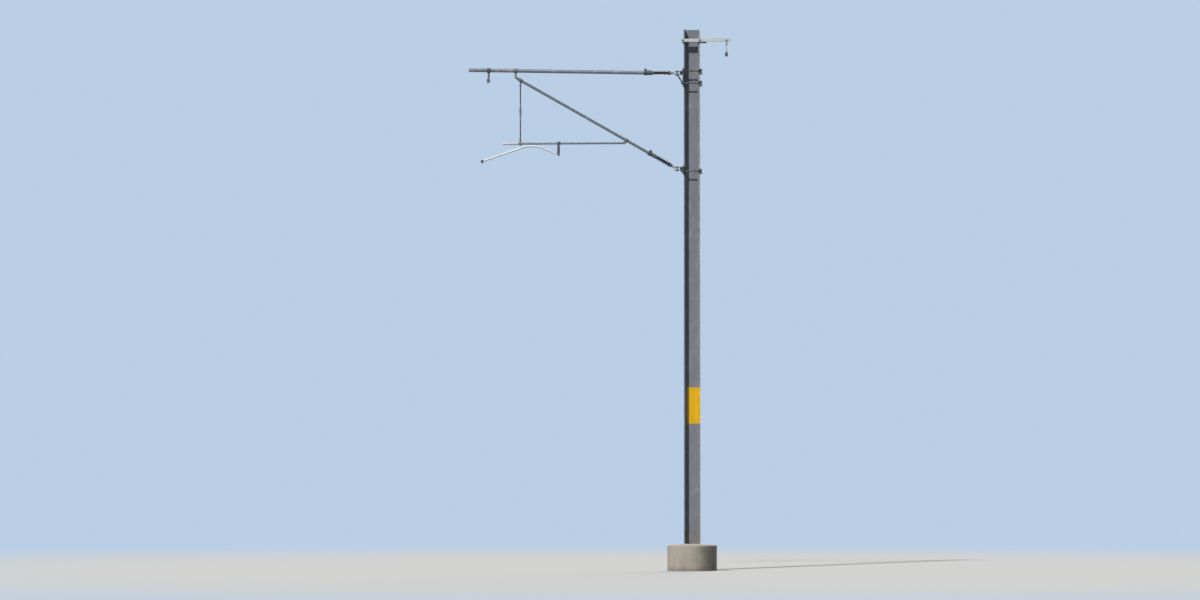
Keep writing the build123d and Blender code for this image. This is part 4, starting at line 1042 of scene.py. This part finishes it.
def build_link_bolts(bm, node):
    """Heads and nuts on the two bars of a hanging link."""
    low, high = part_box(node)
    x = (low.x + high.x) / 2
    strap_r = (high.x - low.x) / 2
    hex_ends(bm, x, high.z - strap_r, low.y, high.y, M16)
    hex_ends(bm, x, low.z + strap_r, low.y, high.y, M12)


def build_jaw_bolts(bm, node):
    """Two upright bolts through the slit side of a wire clamp."""
    low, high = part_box(node)
    co = points(node)
    body = co[np.abs(co[:, 1] - high.y) < SAME_FACE]
    top = float(body[:, 2].max())
    bottom = float(body[:, 2].min())
    x = float(body[:, 0].min()) + JAW_BOLT_IN
    for side in (-1, 1):
        y = (low.y + high.y) / 2 + side * JAW_BOLT_APART
        bolt(bm, Vector((x, y, top)), -Z_AXIS, M10, top - bottom)


def build_contact_bolts(bm):
    """Two small bolts through the jaws of the contact wire clamp."""
    co = points("contact_wire_clamp")
    low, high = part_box("contact_wire_clamp")
    body = co[co[:, 1] < low.y + SAME_FACE]
    left = float(body[:, 0].min())
    right = float(body[:, 0].max())
    for side in (-1, 1):
        y = (low.y + high.y) / 2 + side * CONTACT_BOLT_APART
        bolt(bm, Vector((left, y, low.z + CONTACT_BOLT_UP)), X_AXIS, M8, right - left)


def build_eye_bolt_thread(bm):
    """The thread of the eye bolt above its nut."""
    low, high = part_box("suspension_eye_bolt")
    centre = Vector(((low.x + high.x) / 2, (low.y + high.y) / 2, high.z - EYE_THREAD_DOWN))
    thread(bm, place(centre, Z_AXIS), EYE_THREAD_D, EYE_THREAD)


def build_hanger_details(bm):
    """Threads and lock nuts at the turnbuckle, and bolts in the forks."""
    low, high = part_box("hanger_turnbuckle")
    x = (low.x + high.x) / 2
    for z, out in ((high.z, Z_AXIS), (low.z, -Z_AXIS)):
        end = Vector((x, 0, z))
        hexagon(bm, place(end, out), LOCK_NUT_ACROSS, LOCK_NUT_T)
        thread(bm, place(end + out * HANGER_THREAD_OUT, out), HANGER_THREAD_D, HANGER_THREAD)
    for co in solids("hanger_rods"):
        reach = float(np.abs(co[:, 1]).max())
        bar = co[np.abs(co[:, 1]) > reach - SAME_FACE]
        z = float(bar[:, 2].min() + bar[:, 2].max()) / 2
        hex_ends(bm, x, z, -reach, reach, M12)


# Welds

def fine_upright_bead(bm, x, y, start_z, end_z):
    """A fine weld bead between two heights."""
    bead(bm, Vector((x, y, start_z)), Vector((x, y, end_z)), FINE_BEAD_R)


def lug_welds(bm, plate_x, half, lugs):
    """Beads round the roots of lugs, each given by the heights of its two faces."""
    for faces in lugs:
        for z in faces:
            bead(bm, Vector((plate_x, -half, z)), Vector((plate_x, half, z)))
    for y in (-half, half):
        for upper, lower in lugs:
            bead(bm, Vector((plate_x, y, upper)), Vector((plate_x, y, lower)))


def brace_welds(bm, plate_x, half, rods):
    """Beads beside the feet of two braces, which end level with the lowest rods."""
    lowest = min(float(co[:, 2].mean()) for co in solids(rods))
    for side in (-1, 1):
        for y in (half, half - BRACE_T):
            fine_upright_bead(bm, plate_x, side * y, lowest - BRACE_HALF, lowest + BRACE_HALF)


def gusset_welds(bm, plate_x, upper, lower):
    """Beads on both sides of the gusset between two lugs."""
    for y in (-GUSSET_HALF_T, GUSSET_HALF_T):
        fine_upright_bead(bm, plate_x, y, lower, upper)
        for z in (upper, lower):
            bead(bm, Vector((plate_x, y, z)), Vector((plate_x - GUSSET_OUT, y, z)), FINE_BEAD_R)


def bracket_welds(bm, node, pin):
    """Beads at a bracket's lugs and gusset. Returns the plate's face, half the lugs' width
    and the lower lug's height."""
    plate_x = float(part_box("post")[0].x) - PLATE_T
    co = points(node)
    lug_tips = co[co[:, 0] < JOINTS["cantilever_swivel"]["pos_m"][0] + SAME_END]
    half = float(np.abs(lug_tips[:, 1]).max())
    pin_low, pin_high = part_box(pin)
    top = pin_high.z - PIN_PAST_LUG
    bottom = pin_low.z + PIN_PAST_LUG
    lug_welds(bm, plate_x, half, ((top, top - LUG_T), (bottom + LUG_T, bottom)))
    gusset_welds(bm, plate_x, top - LUG_T, bottom + LUG_T)
    return plate_x, half, bottom


def build_bracket_beads(bm):
    """The welds of both brackets: the upper has two braces, the lower a deeper gusset."""
    plate_x, half, _ = bracket_welds(bm, "upper_bracket", "upper_swivel_pin")
    brace_welds(bm, plate_x, half, "upper_clamp_rods")
    plate_x, _, bottom = bracket_welds(bm, "lower_bracket", "lower_swivel_pin")
    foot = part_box("lower_bracket")[0].z + GUSSET_FOOT
    for y in (-GUSSET_HALF_T, GUSSET_HALF_T):
        fine_upright_bead(bm, plate_x, y, bottom, foot)


def build_tube_welds(bm):
    """A bead round the welded end of each tube."""
    for node, end in (("top_tube", 1), ("strut", 1), ("registration_tube", 0)):
        line = LINES[node]
        bead_ring(bm, line.at(end * line.length), line.axis, line.radius)


def build_arm_weld(bm):
    """A bead round the end of the steady arm's tube, where its eye goes in."""
    hinge = Vector(JOINTS["steady_arm_hinge"]["pos_m"])
    co = points("steady_arm")
    away = np.linalg.norm(co - np.array(hinge), axis=1)
    ring = co[away < away.min() + ARM_END]
    centre = Vector((ring.min(0) + ring.max(0)) / 2)
    radius = float(np.linalg.norm(ring - np.array(centre), axis=1).max())
    bead_ring(bm, centre, centre - hinge, radius)


# Cement and mortar

def build_cement_rings(bm):
    """A sloping ring of cement where each insulator enters its two caps."""
    for line, prefix in ((LINES["top_tube"], "upper"), (LINES["strut"], "lower")):
        inner = line.measure(points(prefix + "_insulator_inner_cap"))[0]
        outer = line.measure(points(prefix + "_insulator_socket"))[0]
        for along, outwards in ((float(inner.max()), 1), (float(outer.min()), -1)):
            lathe(bm, place(line.at(along), line.axis * outwards), CEMENT_RINGS, CEMENT_POINTS)


def build_mortar(bm):
    """A low mound of mortar where the post goes into the foundation."""
    low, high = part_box("post")
    reach_x = (high.x - low.x) / 2
    reach_y = (high.y - low.y) / 2
    rows = []
    for out, z in MORTAR_RINGS:
        row = []
        for i in range(MORTAR_POINTS):
            turn = 2 * math.pi * i / MORTAR_POINTS
            square = min(1 / max(abs(math.cos(turn)), abs(math.sin(turn))), MORTAR_CORNER)
            wave = 1 + MORTAR_WAVE * math.sin(3 * turn + 0.7) + MORTAR_RIPPLE * math.sin(7 * turn)
            uneven = MORTAR_UNEVEN * math.sin(5 * turn + 20 * out)
            x = (reach_x + out * wave) * square * math.cos(turn)
            y = (reach_y + out * wave) * square * math.sin(turn)
            row.append((x, y, TOP_OF_FOUNDATION + z + uneven))
        rows.append(row)
    rings(bm, Matrix.Identity(4), rows)


# The pieces that are added

STEEL = "galvanised_steel"
STUDS = (
    ("upper_studs", "upper_clamp_rods", X_AXIS, DARK_ZINC),
    ("lower_studs", "lower_clamp_rods", X_AXIS, DARK_ZINC),
    ("crossarm_studs", "crossarm_rods", Y_AXIS, BRIGHT_ZINC),
)
DETAILS = (
    ("clamp_bolts", "cantilever", STEEL, BRIGHT_ZINC, build_clamp_bolts),
    ("pin_ends", "cantilever", STEEL, BRIGHT_ZINC, build_pin_ends),
    ("hanger_details", "cantilever", STEEL, BRIGHT_ZINC, build_hanger_details),
    ("cantilever_welds", "cantilever", STEEL, WELD_ZINC, build_tube_welds),
    ("bracket_beads", "mast", STEEL, WELD_ZINC, build_bracket_beads),
    ("cement_rings", "cantilever", "concrete", CEMENT, build_cement_rings),
    ("swivel_split_pins", "mast", STEEL, BRIGHT_ZINC, build_swivel_split_pins),
    ("mortar", "mast", "concrete", MORTAR, build_mortar),
    ("eye_bolt_thread", "mast", STEEL, BRIGHT_ZINC, build_eye_bolt_thread),
    ("contact_clamp_bolts", "steady_arm", STEEL, BRIGHT_ZINC, build_contact_bolts),
    ("steady_arm_weld", "steady_arm", "aluminium_arm", MATERIALS["aluminium_arm"],
     build_arm_weld),
    ("messenger_link_bolts", "messenger_clamp", STEEL, BRIGHT_ZINC, build_link_bolts,
     "messenger_link"),
    ("messenger_jaw_bolts", "messenger_clamp", STEEL, BRIGHT_ZINC, build_jaw_bolts,
     "messenger_clamp"),
    ("suspension_link_bolts", "wire_hanger", STEEL, BRIGHT_ZINC, build_link_bolts,
     "suspension_link"),
    ("suspension_jaw_bolts", "wire_hanger", STEEL, BRIGHT_ZINC, build_jaw_bolts,
     "suspension_clamp"),
)


def add_details():
    """Makes every piece in the two lists."""
    for name, node, axis, material in STUDS:
        piece(name, "mast", STEEL, material, build_studs, node, axis, replaces=(node,))
    for row in DETAILS:
        piece(*row)


# Floor, light and camera

def direction(azimuth, elevation):
    """Unit vector from the object towards an azimuth and elevation."""
    a = math.radians(azimuth)
    e = math.radians(elevation)
    return Vector((math.sin(a) * math.cos(e), -math.cos(a) * math.cos(e), math.sin(e)))


def seen_by_eye(tree):
    """1 where a ray is looked along, also mirrored or refracted, and 0 where it lights."""
    path = tree.nodes.new("ShaderNodeLightPath")
    seen = path.outputs["Is Camera Ray"]
    for ray in ("Is Glossy Ray", "Is Transmission Ray"):
        larger = tree.nodes.new("ShaderNodeMath")
        larger.operation = "MAXIMUM"
        tree.links.new(seen, larger.inputs[0])
        tree.links.new(path.outputs[ray], larger.inputs[1])
        seen = larger.outputs[0]
    return seen


def mix_shaders(tree, share, first, second, output):
    """Feeds an output node with a mix of two shader nodes."""
    blend = tree.nodes.new("ShaderNodeMixShader")
    tree.links.new(share, blend.inputs[0])
    tree.links.new(first.outputs[0], blend.inputs[1])
    tree.links.new(second.outputs[0], blend.inputs[2])
    tree.links.new(blend.outputs[0], tree.nodes[output].inputs["Surface"])


def floor_material():
    """Pale floor that fades into the backdrop's colour away from the object."""
    shader = Shader("floor")
    seen = seen_by_eye(shader.tree)
    grain = shader.noise(3, 4)
    pale = shader.brighter(FLOOR_SEEN, shader.varied(1.0, (grain, 0.05)))
    shader.finish(shader.mix(seen, FLOOR_BOUNCE, pale), 0.9, shader.bump(grain, 0.001),
                  specular=0.0)
    away = shader.node("ShaderNodeVectorMath")
    away.operation = "LENGTH"
    shader.feed(away.inputs[0], shader.place)
    fade = shader.ramp(away.outputs["Value"], FLOOR_NEAR, FLOOR_FAR)
    glow = shader.node("ShaderNodeEmission")
    glow.inputs["Color"].default_value = BACKDROP
    mix_shaders(shader.tree, shader.times(fade, seen), shader.surface, glow, "Material Output")
    return shader.material


def add_floor():
    """A wide round floor at the ground."""
    bm = bmesh.new()
    bm.faces.new([bm.verts.new(p) for p in circle(FLOOR_R, 0, FLOOR_POINTS)])
    mesh = bpy.data.meshes.new("floor")
    bm.to_mesh(mesh)
    bm.free()
    floor = bpy.data.objects.new("floor", mesh)
    floor.location.z = CAD_BOX[0].z - FLOOR_DROP
    bpy.context.scene.collection.objects.link(floor)
    mesh.materials.append(floor_material())


def add_sun(name, azimuth, elevation, strength, width):
    """A sun lamp that looks as wide as an angle."""
    lamp = bpy.data.lights.new(name, "SUN")
    lamp.energy = strength
    lamp.angle = math.radians(width)
    made = bpy.data.objects.new(name, lamp)
    made.rotation_mode = "QUATERNION"
    made.rotation_quaternion = direction(azimuth, elevation).to_track_quat("Z", "Y")
    bpy.context.scene.collection.objects.link(made)


def add_world():
    """Even pale light, with the backdrop's colour where the camera looks past the object."""
    world = bpy.data.worlds.new("studio")
    world.use_nodes = True
    tree = world.node_tree
    light = tree.nodes["Background"]
    light.inputs["Color"].default_value = SKY_COLOUR
    light.inputs["Strength"].default_value = SKY_STRENGTH
    backdrop = tree.nodes.new("ShaderNodeBackground")
    backdrop.inputs["Color"].default_value = BACKDROP
    mix_shaders(tree, seen_by_eye(tree), light, backdrop, "World Output")
    bpy.context.scene.world = world


def add_camera():
    """The photograph's viewing angle, with a longer lens so that the mast fills the frame."""
    low, high = CAD_BOX
    data = bpy.data.cameras.new("camera")
    camera = bpy.data.objects.new("camera", data)
    back = direction(CAMERA_AZIMUTH, 0)
    camera.location = Vector((0, 0, CAMERA_HEIGHT)) + back * CAMERA_DISTANCE
    toward = camera.location - (low + high) / 2
    camera.rotation_mode = "QUATERNION"
    camera.rotation_quaternion = toward.to_track_quat("Z", "Y")
    frame_height = (high.z - low.z) / FRAME_FILL
    data.sensor_width = SENSOR_WIDTH
    data.lens = SENSOR_WIDTH * toward.length / (PICTURE_ASPECT * frame_height)
    data.clip_end = CAMERA_END
    bpy.context.scene.collection.objects.link(camera)
    bpy.context.scene.camera = camera


dress_nodes()
add_details()
add_floor()
for sun, values in SUNS.items():
    add_sun(sun, *values)
add_world()
add_camera()
bpy.context.scene.view_settings.view_transform = "Standard"
